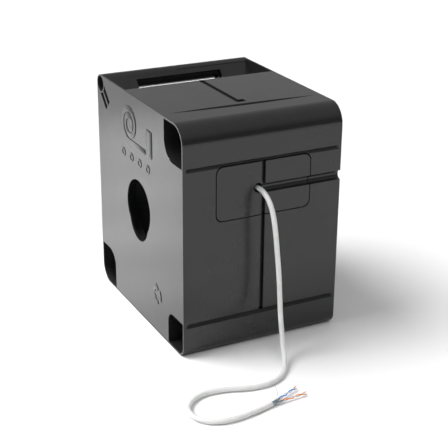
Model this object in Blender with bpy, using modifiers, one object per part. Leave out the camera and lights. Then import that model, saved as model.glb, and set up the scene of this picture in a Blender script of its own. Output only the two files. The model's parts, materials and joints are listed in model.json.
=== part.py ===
"""Cable spool box: a plastic carrying box of two half shells around a turning cable spool.

Frame: metres, +Z up. The origin is the centre of the box's footprint, at the surface it stands on.
+X runs along the front face and is the spool's axis. The front face looks along -Y.
"""

import math

import bmesh
import bpy
from mathutils import Matrix, Vector

# ---- Driving dimensions, in metres -------------------------------------------------------

WIDTH = 0.254
DEPTH = 0.315
HEIGHT = 0.350

GAP = 0.0003              # clearance that neighbouring solids keep
PLATE = 0.003             # side plates
WALL = 0.0035             # front, top, bottom and rear walls
RIM = 0.0035              # extra thickness of the walls at the seam between the half shells
RIM_HALF = 0.010          # half width of that thickened rim
SKIN = 0.003              # outer skin over the corner channels
INNER_WALL = 0.0025       # wall between a corner channel and the spool chamber
EDGE = 0.001              # radius of a moulded inside corner

TOP_FRONT_R = 0.030
BOTTOM_FRONT_R = 0.016
BOTTOM_REAR_R = 0.028

FRONT_Y = -DEPTH / 2
REAR_Y = DEPTH / 2

HANDLE_R = 0.014
HANDLE_BORE_R = 0.012
HANDLE_Y = REAR_Y - HANDLE_R
HANDLE_Z = HEIGHT - HANDLE_R
GRIP_HALF = 0.073         # half length of the opening for the hand
GRIP_LIP = 0.00866        # how far the slab reaches past the tube at that opening
SLAB_HALF = HANDLE_R      # the sloped slab below the handle is as thick as the tube
SLAB_ROOT = 0.0006        # step left where the hand opening meets the sloped wall
CHEEK = 0.0025            # side cheeks of the handle recess
SLOT_NEAR_R = 0.0148
SLOT_FAR = 0.0405
SLOT_IN = 0.0024
SLOT_OUT = 0.0108
SLOT_STEPS = 6
PANEL_END_Y = 0.0485      # rear edge of the flat top panel
SLOPED_WALL = 0.003
CORE_TUBE_IN_R = 0.0102    # tube inside the handle, which joins the two half handles
CORE_TUBE_HALF = 0.118

SPOOL_Z = 0.178
JOURNAL_IN_R = 0.057
JOURNAL_R = 0.060
JOURNAL_LENGTH = 0.016
RUNNING_GAP = 0.0005
BUSH_WALL = 0.003
BUSH_REACH = 0.009
BUSH_LIP_R = 0.0705
BUSH_LIP = 0.0022
FLANGE_R = 0.142
FLANGE_THICK = 0.003
FLANGE_OUTER_X = 0.119
CORE_R = 0.078
CORE_IN_R = 0.074
CORE_END = 0.008
CORE_END_IN_R = 0.0644
SCREW_CIRCLE_R = 0.0735
SCREW_R = 0.0015
SCREW_LENGTH = 0.0075
SCREW_HEAD_R = 0.003
SCREW_HEAD = 0.0018
WINDOW_CIRCLE_R = 0.112
WINDOW_R = 0.020
WINDOWS = 6
WINDING_R = 0.124

KEYHOLE_Z = 0.180
KEYHOLE_R = 0.043
KEYHOLE_FOOT_Z = 0.1595
KEYHOLE_FOOT_R = 0.033

GROOVE_DEPTH = 0.0023
GROOVE_HALF_LENGTH = 0.122
UPPER_GROOVE_Z = 0.2878
UPPER_GROOVE_HALF = 0.0029
LOWER_GROOVE_Z = 0.0511
LOWER_GROOVE_HALF = 0.0041
SEAM_GROOVE_X = -0.0010
SEAM_GROOVE_HALF = 0.0032
SEAM_GROOVE_DEPTH = 0.005
SEAM_GROOVE_LOW = 0.053
SEAM_GROOVE_HIGH = 0.286
TOP_GROOVE_X = -0.0007
TOP_GROOVE_HALF = 0.0038
TOP_GROOVE_DEPTH = 0.0026
TOP_GROOVE_FRONT_Y = -0.0797
TOP_GROOVE_LIP = 0.0012    # material left between the groove and the panel's rear edge
HOOK_LENGTH = 0.011
HOOK_DEPTH_Y = 0.0105
CREASE_Y = -0.0925
CREASE_TILT = -0.034      # metres that the dent moves back for each metre to the right
CREASE_HALF_LENGTH = 0.117
CREASE_HALF_WIDTH = 0.0075
CREASE_DEPTH = 0.0023
CREASE_BOTTOM = 0.3        # where the dent is deepest and where it ends, as shares of its half width
CREASE_END = 0.55
SLIVER = 0.0001           # how far a cutter stands proud of the face that it opens

CHANNEL_Z = 0.2443
CHANNEL_R = 0.0068
PAD_HALF = 0.0105
PAD_Y = FRONT_Y + 0.0095
OUTLET_X = -0.009
OUTLET_Z = 0.2462
OUTLET_R = 0.0072
CABLE_OUT_X = -0.0070
CABLE_OUT_Z = 0.2440

HATCH_HALF = 0.0750
HATCH_LOW = 0.2049
HATCH_HIGH = 0.2849
HATCH_CORNER = 0.0105
HATCH_GAP = 0.0012
HATCH_PLATE = 0.0035
HATCH_FRAME = 0.003        # thickness of the frame round the plate's back
HATCH_BEHIND = 0.004       # clear space behind the plate's cable bar
HATCH_RIB = 0.0025         # wall on each side of the seam groove in the plate

DOWEL_R = 0.0018
DOWEL_HALF = 0.006

CABLE_R = 0.00375
CABLE_REST = CABLE_R + GAP
SCREEN_R = 0.0031
SCREEN_LENGTH = 0.009
PAIR_FOIL_R = 0.0018
PAIR_FOIL_LENGTH = 0.008
WIRE_R = 0.00085
PAIR_LENGTH = 0.034
PAIR_PITCH = 0.022
PAIR_SPREAD = 0.0021
PAIR_SPLAY = 0.0055
COPPER_R = 0.00045
COPPER_LENGTH = 0.005
DRAIN_R = 0.0003
DRAIN_LENGTH = 0.026
DRAIN_LIFT = 0.2           # how far the long drain wire rises, as a share of its length

QUARTER_STEPS = 8         # facets in a quarter turn of a small arc
ROUND_STEPS = 48          # facets round the spool's parts
PAST = 0.02               # how far a cutter reaches past what it cuts


# ---- Points and outlines -----------------------------------------------------------------


def arc(centre, radius, start, end, steps=QUARTER_STEPS):
    """Points along an arc between two angles in degrees."""
    points = []
    for step in range(steps + 1):
        angle = math.radians(start + (end - start) * step / steps)
        points.append((centre[0] + radius * math.cos(angle), centre[1] + radius * math.sin(angle)))
    return points


def signed_area(outline):
    """Positive for an outline that runs anticlockwise."""
    pairs = zip(outline, outline[1:] + outline[:1])
    return sum(a[0] * b[1] - b[0] * a[1] for a, b in pairs) / 2


def circle(centre, radius, steps=ROUND_STEPS):
    return arc(centre, radius, 0, 360, steps)[:-1]


def rounded(corners):
    """A closed outline whose corners (a, b, radius) are rounded."""
    points = []
    for index, (a, b, radius) in enumerate(corners):
        here = Vector((a, b))
        before = Vector(corners[index - 1][:2]) - here
        after = Vector(corners[(index + 1) % len(corners)][:2]) - here
        if radius == 0:
            points.append((a, b))
            continue
        half = before.angle(after) / 2
        reach = radius / math.tan(half)
        start = here + before.normalized() * reach
        end = here + after.normalized() * reach
        inward = (before.normalized() + after.normalized()).normalized()
        centre = here + inward * (radius / math.sin(half))
        turn = math.pi - 2 * half
        steps = max(2, round(QUARTER_STEPS * turn / (math.pi / 2))) if radius > 2 * EDGE else 1
        for step in range(steps + 1):
            share = step / steps
            from_start = (start - centre) * math.sin((1 - share) * turn)
            from_end = (end - centre) * math.sin(share * turn)
            points.append(tuple(centre + (from_start + from_end) / math.sin(turn)))
    return points


def from_handle(along, across):
    """A point placed from the handle's axis: along the slab, down and forward, and across it."""
    slope = math.sqrt(0.5)
    return (HANDLE_Y - slope * (along + across), HANDLE_Z - slope * (along - across))


def smooth_route(points, spacing):
    """Evenly spaced points on a smooth curve through the given ones."""
    ends = [points[0] * 2 - points[1]] + points + [points[-1] * 2 - points[-2]]
    dense = []
    for i in range(1, len(ends) - 2):
        p0, p1, p2, p3 = ends[i - 1 : i + 3]
        for step in range(20):
            t = step / 20
            dense.append(
                0.5 * (2 * p1 + (p2 - p0) * t + (2 * p0 - 5 * p1 + 4 * p2 - p3) * t**2
                       + (3 * p1 - p0 - 3 * p2 + p3) * t**3)
            )
    dense.append(points[-1].copy())
    length = sum((b - a).length for a, b in zip(dense, dense[1:]))
    count = max(2, round(length / spacing))
    route = [dense[0]]
    walked = 0.0
    for a, b in zip(dense, dense[1:]):
        step = (b - a).length
        while len(route) < count and walked + step >= len(route) * length / count:
            share = (len(route) * length / count - walked) / step
            route.append(a.lerp(b, share))
        walked += step
    route.append(dense[-1])
    return route


# ---- Blender objects ---------------------------------------------------------------------


def clear_scene():
    for obj in list(bpy.data.objects):
        bpy.data.objects.remove(obj, do_unlink=True)


def new_collection(name):
    collection = bpy.data.collections.new(name)
    bpy.context.scene.collection.children.link(collection)
    return collection


def material(name, colour, roughness, metallic=0.0):
    made = bpy.data.materials.new(name)
    made.use_nodes = True
    shader = made.node_tree.nodes["Principled BSDF"]
    shader.inputs["Base Color"].default_value = (*colour, 1.0)
    shader.inputs["Roughness"].default_value = roughness
    shader.inputs["Metallic"].default_value = metallic
    return made


def link_mesh(name, mesh, collection, look=None):
    obj = bpy.data.objects.new(name, mesh)
    collection.objects.link(obj)
    if look is not None:
        mesh.materials.clear()
        mesh.materials.append(look)
    if collection is cutters:
        obj.hide_render = True
        obj.display_type = "WIRE"
    return obj


def mesh_from_curve(name, curve, matrix, collection, look=None):
    """Turns a curve into a mesh object with its caps welded on."""
    holder = bpy.data.objects.new(name + "_curve", curve)
    bpy.context.scene.collection.objects.link(holder)
    bpy.context.view_layer.update()
    graph = bpy.context.evaluated_depsgraph_get()
    mesh = bpy.data.meshes.new_from_object(holder.evaluated_get(graph))
    bpy.data.objects.remove(holder, do_unlink=True)
    mesh.transform(matrix)
    shape = bmesh.new()
    shape.from_mesh(mesh)
    bmesh.ops.remove_doubles(shape, verts=shape.verts, dist=1e-6)
    bmesh.ops.recalc_face_normals(shape, faces=shape.faces)
    shape.to_mesh(mesh)
    shape.free()
    return link_mesh(name, mesh, collection, look)


def extruded(name, outlines, matrix, thickness, collection, look=None):
    """A flat outline, with any holes as further outlines, extruded half each way from its plane."""
    curve = bpy.data.curves.new(name, "CURVE")
    curve.dimensions = "2D"
    curve.fill_mode = "BOTH"
    curve.extrude = thickness / 2
    for outline in outlines:
        spline = curve.splines.new("POLY")
        spline.points.add(len(outline) - 1)
        for point, (a, b) in zip(spline.points, outline):
            point.co = (a, b, 0, 1)
        spline.use_cyclic_u = True
    return mesh_from_curve(name, curve, matrix, collection, look)


def along_x(name, outlines, x_from, x_to, collection, look=None):
    """Outlines in (y, z), extruded along X."""
    turn = Matrix(((0, 0, 1, (x_from + x_to) / 2), (1, 0, 0, 0), (0, 1, 0, 0), (0, 0, 0, 1)))
    return extruded(name, outlines, turn, x_to - x_from, collection, look)


def along_y(name, outlines, y_from, y_to, collection, look=None):
    """Outlines in (x, z), extruded along Y."""
    turn = Matrix(((1, 0, 0, 0), (0, 0, -1, (y_from + y_to) / 2), (0, 1, 0, 0), (0, 0, 0, 1)))
    return extruded(name, outlines, turn, y_to - y_from, collection, look)


def box(name, low, high, collection):
    bpy.ops.mesh.primitive_cube_add(size=1)
    made = bpy.context.object
    made.name = name
    middle = [(a + b) / 2 for a, b in zip(low, high)]
    size = [b - a for a, b in zip(low, high)]
    made.data.transform(Matrix.Translation(middle) @ Matrix.Diagonal((*size, 1)))
    move_to(made, collection)
    return made


def move_to(obj, collection):
    for owner in list(obj.users_collection):
        owner.objects.unlink(obj)
    collection.objects.link(obj)
    if collection is cutters:
        obj.hide_render = True
        obj.display_type = "WIRE"


def turned(name, profile, collection, look=None, steps=ROUND_STEPS):
    """A ring about the spool's axis. The profile is a closed outline of (x, radius) points."""
    mesh = bpy.data.meshes.new(name)
    shape = bmesh.new()
    if signed_area(profile) < 0:
        profile = profile[::-1]
    corners = [shape.verts.new((x, 0, radius)) for x, radius in profile]
    for first, second in zip(corners, corners[1:] + corners[:1]):
        shape.edges.new((first, second))
    shape.to_mesh(mesh)
    shape.free()
    obj = link_mesh(name, mesh, collection, look)
    obj.location = (0, 0, SPOOL_Z)
    screw = obj.modifiers.new("turn", "SCREW")
    screw.axis = "X"
    screw.steps = steps
    screw.render_steps = steps
    screw.use_merge_vertices = True
    screw.merge_threshold = 0.00001
    return obj


def tube(name, points, radius, collection, look, sides=2):
    curve = bpy.data.curves.new(name, "CURVE")
    curve.dimensions = "3D"
    curve.bevel_depth = radius
    curve.bevel_resolution = sides
    curve.use_fill_caps = True
    spline = curve.splines.new("POLY")
    spline.points.add(len(points) - 1)
    for point, place in zip(spline.points, points):
        point.co = (*place, 1)
    return mesh_from_curve(name, curve, Matrix.Identity(4), collection, look)


def boolean(target, tool, operation):
    modifier = target.modifiers.new(tool.name, "BOOLEAN")
    modifier.operation = operation
    modifier.solver = "EXACT"
    modifier.object = tool


def cut(target, *tools):
    for tool in tools:
        boolean(target, tool, "DIFFERENCE")


# ---- Outlines of the box, in (y, z) --------------------------------------------------------


def outer_outline():
    corners = [
        (FRONT_Y, 0, BOTTOM_FRONT_R),
        (REAR_Y, 0, BOTTOM_REAR_R),
        (REAR_Y, HEIGHT, HANDLE_R),
        (FRONT_Y, HEIGHT, TOP_FRONT_R),
    ]
    return rounded(corners)


def top_front_channel():
    return rounded([
        (FRONT_Y + SKIN, 0.290, EDGE),
        (-0.0965, 0.290, 0.030),
        (-0.0965, HEIGHT - SKIN, EDGE),
        (FRONT_Y + SKIN, HEIGHT - SKIN, TOP_FRONT_R - SKIN),
    ])


def bottom_front_channel():
    return rounded([
        (FRONT_Y + SKIN, SKIN, BOTTOM_FRONT_R - SKIN),
        (-0.1045, SKIN, EDGE),
        (-0.1045, 0.054, 0.016),
        (FRONT_Y + SKIN, 0.054, EDGE),
    ])


def bottom_rear_channel():
    return rounded([
        (0.1015, SKIN, EDGE),
        (REAR_Y - SKIN, SKIN, BOTTOM_REAR_R - SKIN),
        (REAR_Y - SKIN, 0.0645, EDGE),
        (0.1015, 0.0645, 0.025),
    ])


def chamber(extra):
    """The spool's chamber. Its walls are thicker by extra at the seam between the half shells."""
    front = FRONT_Y + WALL + extra
    rear = REAR_Y - WALL - extra
    low = WALL + extra
    high = HEIGHT - WALL - extra
    wall = INNER_WALL + extra
    sloped = PANEL_END_Y + HEIGHT - (SLOPED_WALL + extra) * math.sqrt(2)
    pad = max(PAD_Y, front + EDGE)
    return rounded([
        (-0.1045 + wall, low, EDGE),
        (0.1015 - wall, low, EDGE),
        (0.1015 - wall, 0.0645 + wall, 0.025 + wall),
        (rear, 0.0645 + wall, EDGE),
        (rear, sloped - rear, EDGE),
        (sloped - high, high, EDGE),
        (-0.0965 + wall, high, EDGE),
        (-0.0965 + wall, 0.290 - wall, 0.030 + wall),
        (front, 0.290 - wall, EDGE),
        (front, CHANNEL_Z + PAD_HALF, EDGE / 2),
        (pad, CHANNEL_Z + PAD_HALF, EDGE / 2),
        (pad, CHANNEL_Z - PAD_HALF, EDGE / 2),
        (front, CHANNEL_Z - PAD_HALF, EDGE / 2),
        (front, 0.054 + wall, EDGE),
        (-0.1045 + wall, 0.054 + wall, 0.016 + wall),
    ])


def handle_recess():
    """The open space above the sloped wall and in front of the slab that carries the handle."""
    root = (HANDLE_Y + HANDLE_Z - PANEL_END_Y - HEIGHT) / math.sqrt(2)
    tube_side = arc((HANDLE_Y, HANDLE_Z), HANDLE_R, 135, 97, 4)
    return [
        (tube_side[-1][0], HEIGHT + PAST),
        (PANEL_END_Y, HEIGHT + PAST),
        (PANEL_END_Y, HEIGHT),
        from_handle(root, SLAB_HALF),
        *tube_side,
    ]


def rear_recess():
    """The open space below the slab, where a hand reaches in from behind."""
    root = (HANDLE_Y + HANDLE_Z - PANEL_END_Y - HEIGHT) / math.sqrt(2)
    behind = REAR_Y + PAST
    return [
        from_handle(0, -SLAB_HALF),
        from_handle(root, -SLAB_HALF),
        (behind, PANEL_END_Y + HEIGHT - behind),
        (behind, from_handle(0, -SLAB_HALF)[1]),
    ]


def grip_opening():
    """What is cut from the slab between the hand's two sides, up to the tube and its lip."""
    root = (HANDLE_Y + HANDLE_Z - PANEL_END_Y - HEIGHT) / math.sqrt(2) - SLAB_ROOT
    beyond = SLAB_HALF + 0.004
    return [
        from_handle(GRIP_LIP, beyond),
        *arc((HANDLE_Y, HANDLE_Z), HANDLE_R, 173.2, 305, 12),
        from_handle(1.3 * HANDLE_R, -beyond),
        from_handle(root, -beyond),
        from_handle(root, beyond),
    ]


def slab_slot(side):
    """One of the two long hollows in the slab. Its near end follows the tube."""
    near = []
    for step in range(SLOT_STEPS + 1):
        across = SLOT_IN + (SLOT_OUT - SLOT_IN) * step / SLOT_STEPS
        near.append(from_handle(math.sqrt(SLOT_NEAR_R**2 - across**2), side * across))
    return [
        *near,
        from_handle(SLOT_FAR, side * SLOT_OUT),
        from_handle(SLOT_FAR, side * SLOT_IN),
    ]


def keyhole():
    """Two overlapping circles: the large eye and the smaller foot below it."""
    drop = KEYHOLE_Z - KEYHOLE_FOOT_Z
    up = (drop**2 + KEYHOLE_R**2 - KEYHOLE_FOOT_R**2) / (2 * drop)
    eye = math.degrees(math.asin(-up / KEYHOLE_R))
    foot = math.degrees(math.asin((drop - up) / KEYHOLE_FOOT_R))
    upper = arc((0, KEYHOLE_Z), KEYHOLE_R, eye, 180 - eye, 26)
    lower = arc((0, KEYHOLE_FOOT_Z), KEYHOLE_FOOT_R, 180 - foot, 360 + foot, 18)
    return upper + lower[1:-1]


# ---- Cutters -------------------------------------------------------------------------------


def long_groove(name, height, half):
    """A V-shaped groove with pointed ends across the front face."""
    low = (-GROOVE_HALF_LENGTH, FRONT_Y - GROOVE_DEPTH, height - half)
    high = (GROOVE_HALF_LENGTH, FRONT_Y + GROOVE_DEPTH, height + half)
    groove = box(name, low, high, cutters)
    for vertex in groove.data.vertices:
        grow = SLIVER - half if vertex.co.y > FRONT_Y else half
        vertex.co.z += grow if vertex.co.z > height else -grow
        vertex.co.x += grow if vertex.co.x > 0 else -grow
    return groove


def crease():
    """The shallow dent across the top panel, deepest in the middle."""
    reach = 0.001
    points = []
    for step in range(9):
        x = CREASE_HALF_LENGTH * (step / 4 - 1)
        points.append((x, CREASE_HALF_WIDTH * (1 - (x / CREASE_HALF_LENGTH) ** 2)))
    mesh = bpy.data.meshes.new("cut_crease")
    shape = bmesh.new()
    rings = []
    for x, half in points[1:-1]:
        deep = CREASE_DEPTH * half / CREASE_HALF_WIDTH
        middle = CREASE_Y + CREASE_TILT * x
        section = [
            (middle - half, HEIGHT + SLIVER),
            (middle + CREASE_BOTTOM * half, HEIGHT - deep),
            (middle + CREASE_END * half, HEIGHT + SLIVER),
            (middle, HEIGHT + reach),
        ]
        rings.append([shape.verts.new((x, y, z)) for y, z in section])
    tips = []
    for x in (points[0][0], points[-1][0]):
        tips.append(shape.verts.new((x, CREASE_Y + CREASE_TILT * x, HEIGHT + SLIVER)))
    for first, second in zip(rings, rings[1:]):
        for side in range(4):
            following = (side + 1) % 4
            shape.faces.new((first[side], first[following], second[following], second[side]))
    for tip, ring in zip(tips, (rings[0], rings[-1])):
        for side in range(4):
            shape.faces.new((tip, ring[side], ring[(side + 1) % 4]))
    bmesh.ops.recalc_face_normals(shape, faces=shape.faces)
    shape.to_mesh(mesh)
    shape.free()
    return link_mesh("cut_crease", mesh, cutters)


def cable_channel():
    """The half-round channel from the outlet to the box's right edge."""
    centre = (FRONT_Y, CHANNEL_Z)
    return along_x("cut_channel", [circle(centre, CHANNEL_R, 24)], OUTLET_X, WIDTH / 2 + PAST, cutters)


def seam_grooves():
    front = box(
        "cut_seam_groove_front",
        (SEAM_GROOVE_X - SEAM_GROOVE_HALF, FRONT_Y - PAST, SEAM_GROOVE_LOW),
        (SEAM_GROOVE_X + SEAM_GROOVE_HALF, FRONT_Y + SEAM_GROOVE_DEPTH, SEAM_GROOVE_HIGH),
        cutters,
    )
    top = box(
        "cut_seam_groove_top",
        (TOP_GROOVE_X - TOP_GROOVE_HALF, TOP_GROOVE_FRONT_Y, HEIGHT - TOP_GROOVE_DEPTH),
        (TOP_GROOVE_X + TOP_GROOVE_HALF, PANEL_END_Y - TOP_GROOVE_LIP, HEIGHT + PAST),
        cutters,
    )
    hook = box(
        "cut_seam_groove_hook",
        (0, TOP_GROOVE_FRONT_Y, HEIGHT - TOP_GROOVE_DEPTH),
        (HOOK_LENGTH, TOP_GROOVE_FRONT_Y + HOOK_DEPTH_Y, HEIGHT + PAST),
        cutters,
    )
    return front, top, hook


def hatch_outline(grow):
    return rounded([
        (-HATCH_HALF - grow, HATCH_LOW - grow, HATCH_CORNER),
        (HATCH_HALF + grow, HATCH_LOW - grow, HATCH_CORNER),
        (HATCH_HALF + grow, HATCH_HIGH + grow, HATCH_CORNER),
        (-HATCH_HALF - grow, HATCH_HIGH + grow, HATCH_CORNER),
    ])


def dowel_places():
    """Where the locating dowels cross the seam, as (y, z)."""
    middle = (WALL + RIM) / 2
    sloped = (PANEL_END_Y + HEIGHT) / math.sqrt(2) - (SLOPED_WALL + RIM) / 2
    return [
        (-0.060, middle),
        (0.060, middle),
        (REAR_Y - middle, 0.105),
        (REAR_Y - middle, 0.205),
        (0.095, sloped * math.sqrt(2) - 0.095),
        (-0.0965 + (INNER_WALL + RIM) / 2, 0.332),
    ]


# ---- The box -------------------------------------------------------------------------------


def make_shell(name, side, shared, look):
    """One half of the box. The side is -1 for the left half and +1 for the right."""
    inner_x = side * GAP / 2
    outer_x = side * WIDTH / 2
    shell = along_x(name, [outer_outline()], min(inner_x, outer_x), max(inner_x, outer_x), parts, look)
    plate_x = side * (WIDTH / 2 - PLATE)
    rim_x = side * RIM_HALF
    hollow = along_x(
        "cut_chamber_" + name, [chamber(0)], min(plate_x, rim_x), max(plate_x, rim_x), cutters
    )
    journal_x = side * (WIDTH / 2 - PLATE - JOURNAL_LENGTH)
    root_x = side * (WIDTH / 2 - PLATE / 2)
    centre = (0, SPOOL_Z)
    journal = along_x(
        "add_journal_" + name,
        [circle(centre, JOURNAL_R, 64), circle(centre, JOURNAL_IN_R, 64)],
        min(journal_x, root_x),
        max(journal_x, root_x),
        cutters,
    )
    cut(shell, hollow)
    boolean(shell, journal, "UNION")
    cut(shell, *shared)
    return shell


def make_box():
    look = material("black_box_plastic", (0.022, 0.022, 0.023), 0.35)
    far = WIDTH / 2 + PAST
    cheek_x = WIDTH / 2 - CHEEK
    through = {
        "cut_top_front_channel": top_front_channel(),
        "cut_bottom_front_channel": bottom_front_channel(),
        "cut_bottom_rear_channel": bottom_rear_channel(),
        "cut_handle_bore": circle((HANDLE_Y, HANDLE_Z), HANDLE_BORE_R, 32),
        "cut_slab_slot_upper": slab_slot(1),
        "cut_slab_slot_lower": slab_slot(-1),
        "cut_keyhole": keyhole(),
    }
    shared = [along_x(name, [outline], -far, far, cutters) for name, outline in through.items()]
    shared.append(along_x("cut_rim", [chamber(RIM)], -2 * RIM_HALF, 2 * RIM_HALF, cutters))
    shared.append(along_x("cut_handle_recess", [handle_recess()], -cheek_x, cheek_x, cutters))
    shared.append(along_x("cut_rear_recess", [rear_recess()], -cheek_x, cheek_x, cutters))
    shared.append(along_x("cut_grip", [grip_opening()], -GRIP_HALF, GRIP_HALF, cutters))
    grooves = seam_grooves()
    channel = cable_channel()
    shared.append(long_groove("cut_upper_groove", UPPER_GROOVE_Z, UPPER_GROOVE_HALF))
    shared.append(long_groove("cut_lower_groove", LOWER_GROOVE_Z, LOWER_GROOVE_HALF))
    shared.append(crease())
    shared.extend(grooves)
    behind = PAD_Y + HATCH_BEHIND
    shared.append(along_y("cut_hatch", [hatch_outline(HATCH_GAP)], FRONT_Y - PAST, behind, cutters))
    for index, place in enumerate(dowel_places(), 1):
        hole = circle(place, DOWEL_R + GAP, 12)
        reach = DOWEL_HALF + GAP
        shared.append(along_x(f"cut_dowel_{index}", [hole], -reach, reach, cutters))
        dowel = circle(place, DOWEL_R, 12)
        along_x(f"seam_dowel_{index}", [dowel], -DOWEL_HALF, DOWEL_HALF, parts, look)
    make_shell("shell_left", -1, shared, look)
    right = make_shell("shell_right", 1, shared, look)
    cut(right, channel)
    make_hatch(grooves[0], channel, look)
    radii = (HANDLE_BORE_R - GAP, CORE_TUBE_IN_R)
    bar = [circle((HANDLE_Y, HANDLE_Z), radius, 32) for radius in radii]
    along_x("handle_core_tube", bar, -CORE_TUBE_HALF, CORE_TUBE_HALF, parts, look)


def make_hatch(seam_groove, channel, look):
    """The snap-in plate round the outlet, thicker behind the cable channel and the seam groove."""
    hatch = along_y("outlet_hatch", [hatch_outline(0)], FRONT_Y, PAD_Y, parts, look)
    half = HATCH_HALF - HATCH_FRAME
    behind = PAD_Y + PAST
    front = FRONT_Y + HATCH_PLATE
    rib = SEAM_GROOVE_HALF + HATCH_RIB
    hollows = []
    for place, low, high in (
        ("above", CHANNEL_Z + PAD_HALF, HATCH_HIGH - HATCH_FRAME),
        ("below", HATCH_LOW + HATCH_FRAME, CHANNEL_Z - PAD_HALF),
    ):
        for side, start, end in (
            ("left", -half, SEAM_GROOVE_X - rib),
            ("right", SEAM_GROOVE_X + rib, half),
        ):
            name = f"cut_hatch_{place}_{side}"
            hollows.append(box(name, (start, front, low), (end, behind, high), cutters))
    outlet = along_y(
        "cut_outlet", [circle((OUTLET_X, OUTLET_Z), OUTLET_R, 28)], FRONT_Y - PAST, behind, cutters
    )
    cut(hatch, *hollows, seam_groove, channel, outlet)


# ---- The spool -----------------------------------------------------------------------------


def make_spool():
    look = material("grey_spool_plastic", (0.045, 0.045, 0.048), 0.5)
    bush_look = material("white_bush_plastic", (0.60, 0.60, 0.58), 0.4)
    steel = material("zinc_screw", (0.62, 0.62, 0.64), 0.35, 1.0)
    coil_look = material("white_cable_coil", (0.80, 0.80, 0.80), 0.45)
    inner_x = FLANGE_OUTER_X - FLANGE_THICK
    end_x = inner_x - GAP
    lip_x = end_x - CORE_END
    core = [
        (-end_x, CORE_R),
        (-end_x, CORE_END_IN_R),
        (-lip_x, CORE_END_IN_R),
        (-lip_x, CORE_IN_R),
        (lip_x, CORE_IN_R),
        (lip_x, CORE_END_IN_R),
        (end_x, CORE_END_IN_R),
        (end_x, CORE_R),
    ]
    spool_core = turned("spool_core", core, parts, look)
    bush_in = JOURNAL_R + RUNNING_GAP
    bush_out = bush_in + BUSH_WALL
    angles = [math.radians(45 + 90 * k) for k in range(4)]
    screw_places = [
        (SCREW_CIRCLE_R * math.cos(a), SPOOL_Z + SCREW_CIRCLE_R * math.sin(a)) for a in angles
    ]
    window_angles = [2 * math.pi * k / WINDOWS for k in range(WINDOWS)]
    window_places = [
        (WINDOW_CIRCLE_R * math.cos(a), SPOOL_Z + WINDOW_CIRCLE_R * math.sin(a)) for a in window_angles
    ]
    for name, side in (("left", -1), ("right", 1)):
        faces = sorted((side * inner_x, side * FLANGE_OUTER_X))
        outlines = [circle((0, SPOOL_Z), FLANGE_R, 64), circle((0, SPOOL_Z), bush_out + GAP)]
        outlines += [circle(place, WINDOW_R, 20) for place in window_places]
        outlines += [circle(place, SCREW_R + GAP, 12) for place in screw_places]
        along_x(f"spool_flange_{name}", outlines, *faces, parts, look)
        seat = FLANGE_OUTER_X + GAP
        bush = [
            (side * (FLANGE_OUTER_X - BUSH_REACH), bush_in),
            (side * (seat + BUSH_LIP), bush_in),
            (side * (seat + BUSH_LIP), BUSH_LIP_R),
            (side * seat, BUSH_LIP_R),
            (side * seat, bush_out),
            (side * (FLANGE_OUTER_X - BUSH_REACH), bush_out),
        ]
        turned(f"bush_{name}", bush, parts, bush_look)
        for index, (y, z) in enumerate(screw_places, 1):
            drilled = sorted((side * (end_x + PAST), side * (end_x - SCREW_LENGTH - GAP + FLANGE_THICK)))
            hole = along_x(
                f"cut_screw_{name}_{index}", [circle((y, z), SCREW_R + GAP, 12)], *drilled, cutters
            )
            cut(spool_core, hole)
            make_screw(f"flange_screw_{name}_{index}", side, y, z, steel)
    winding_x = inner_x - GAP
    shoulder = CABLE_R
    winding = [
        (-winding_x, CORE_R + GAP),
        (winding_x, CORE_R + GAP),
        (winding_x, WINDING_R - shoulder),
        (winding_x - shoulder, WINDING_R),
        (-winding_x + shoulder, WINDING_R),
        (-winding_x, WINDING_R - shoulder),
    ]
    turned("cable_winding", winding, parts, coil_look)


def make_screw(name, side, y, z, look):
    """A pan-head screw along X, its head on the flange's outer face."""
    head = side * (FLANGE_OUTER_X + GAP)
    profile = [
        (head + side * SCREW_HEAD, 0.0),
        (head + side * SCREW_HEAD, 0.6 * SCREW_HEAD_R),
        (head + side * 0.4 * SCREW_HEAD, SCREW_HEAD_R),
        (head, SCREW_HEAD_R),
        (head, SCREW_R),
        (head - side * (SCREW_LENGTH - 0.001), SCREW_R),
        (head - side * SCREW_LENGTH, 0.4 * SCREW_R),
        (head - side * SCREW_LENGTH, 0.0),
    ]
    mesh = bpy.data.meshes.new(name)
    shape = bmesh.new()
    corners = [shape.verts.new((x, 0, radius)) for x, radius in profile]
    for first, second in zip(corners, corners[1:]):
        shape.edges.new((first, second))
    bmesh.ops.spin(
        shape,
        geom=shape.verts[:] + shape.edges[:],
        axis=(1, 0, 0),
        cent=(0, 0, 0),
        angle=2 * math.pi,
        steps=12,
        use_merge=True,
    )
    bmesh.ops.remove_doubles(shape, verts=shape.verts, dist=1e-6)
    bmesh.ops.recalc_face_normals(shape, faces=shape.faces)
    shape.to_mesh(mesh)
    shape.free()
    screw = link_mesh(name, mesh, parts, look)
    screw.location = (0, y, z)


# ---- The cable -----------------------------------------------------------------------------

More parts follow.
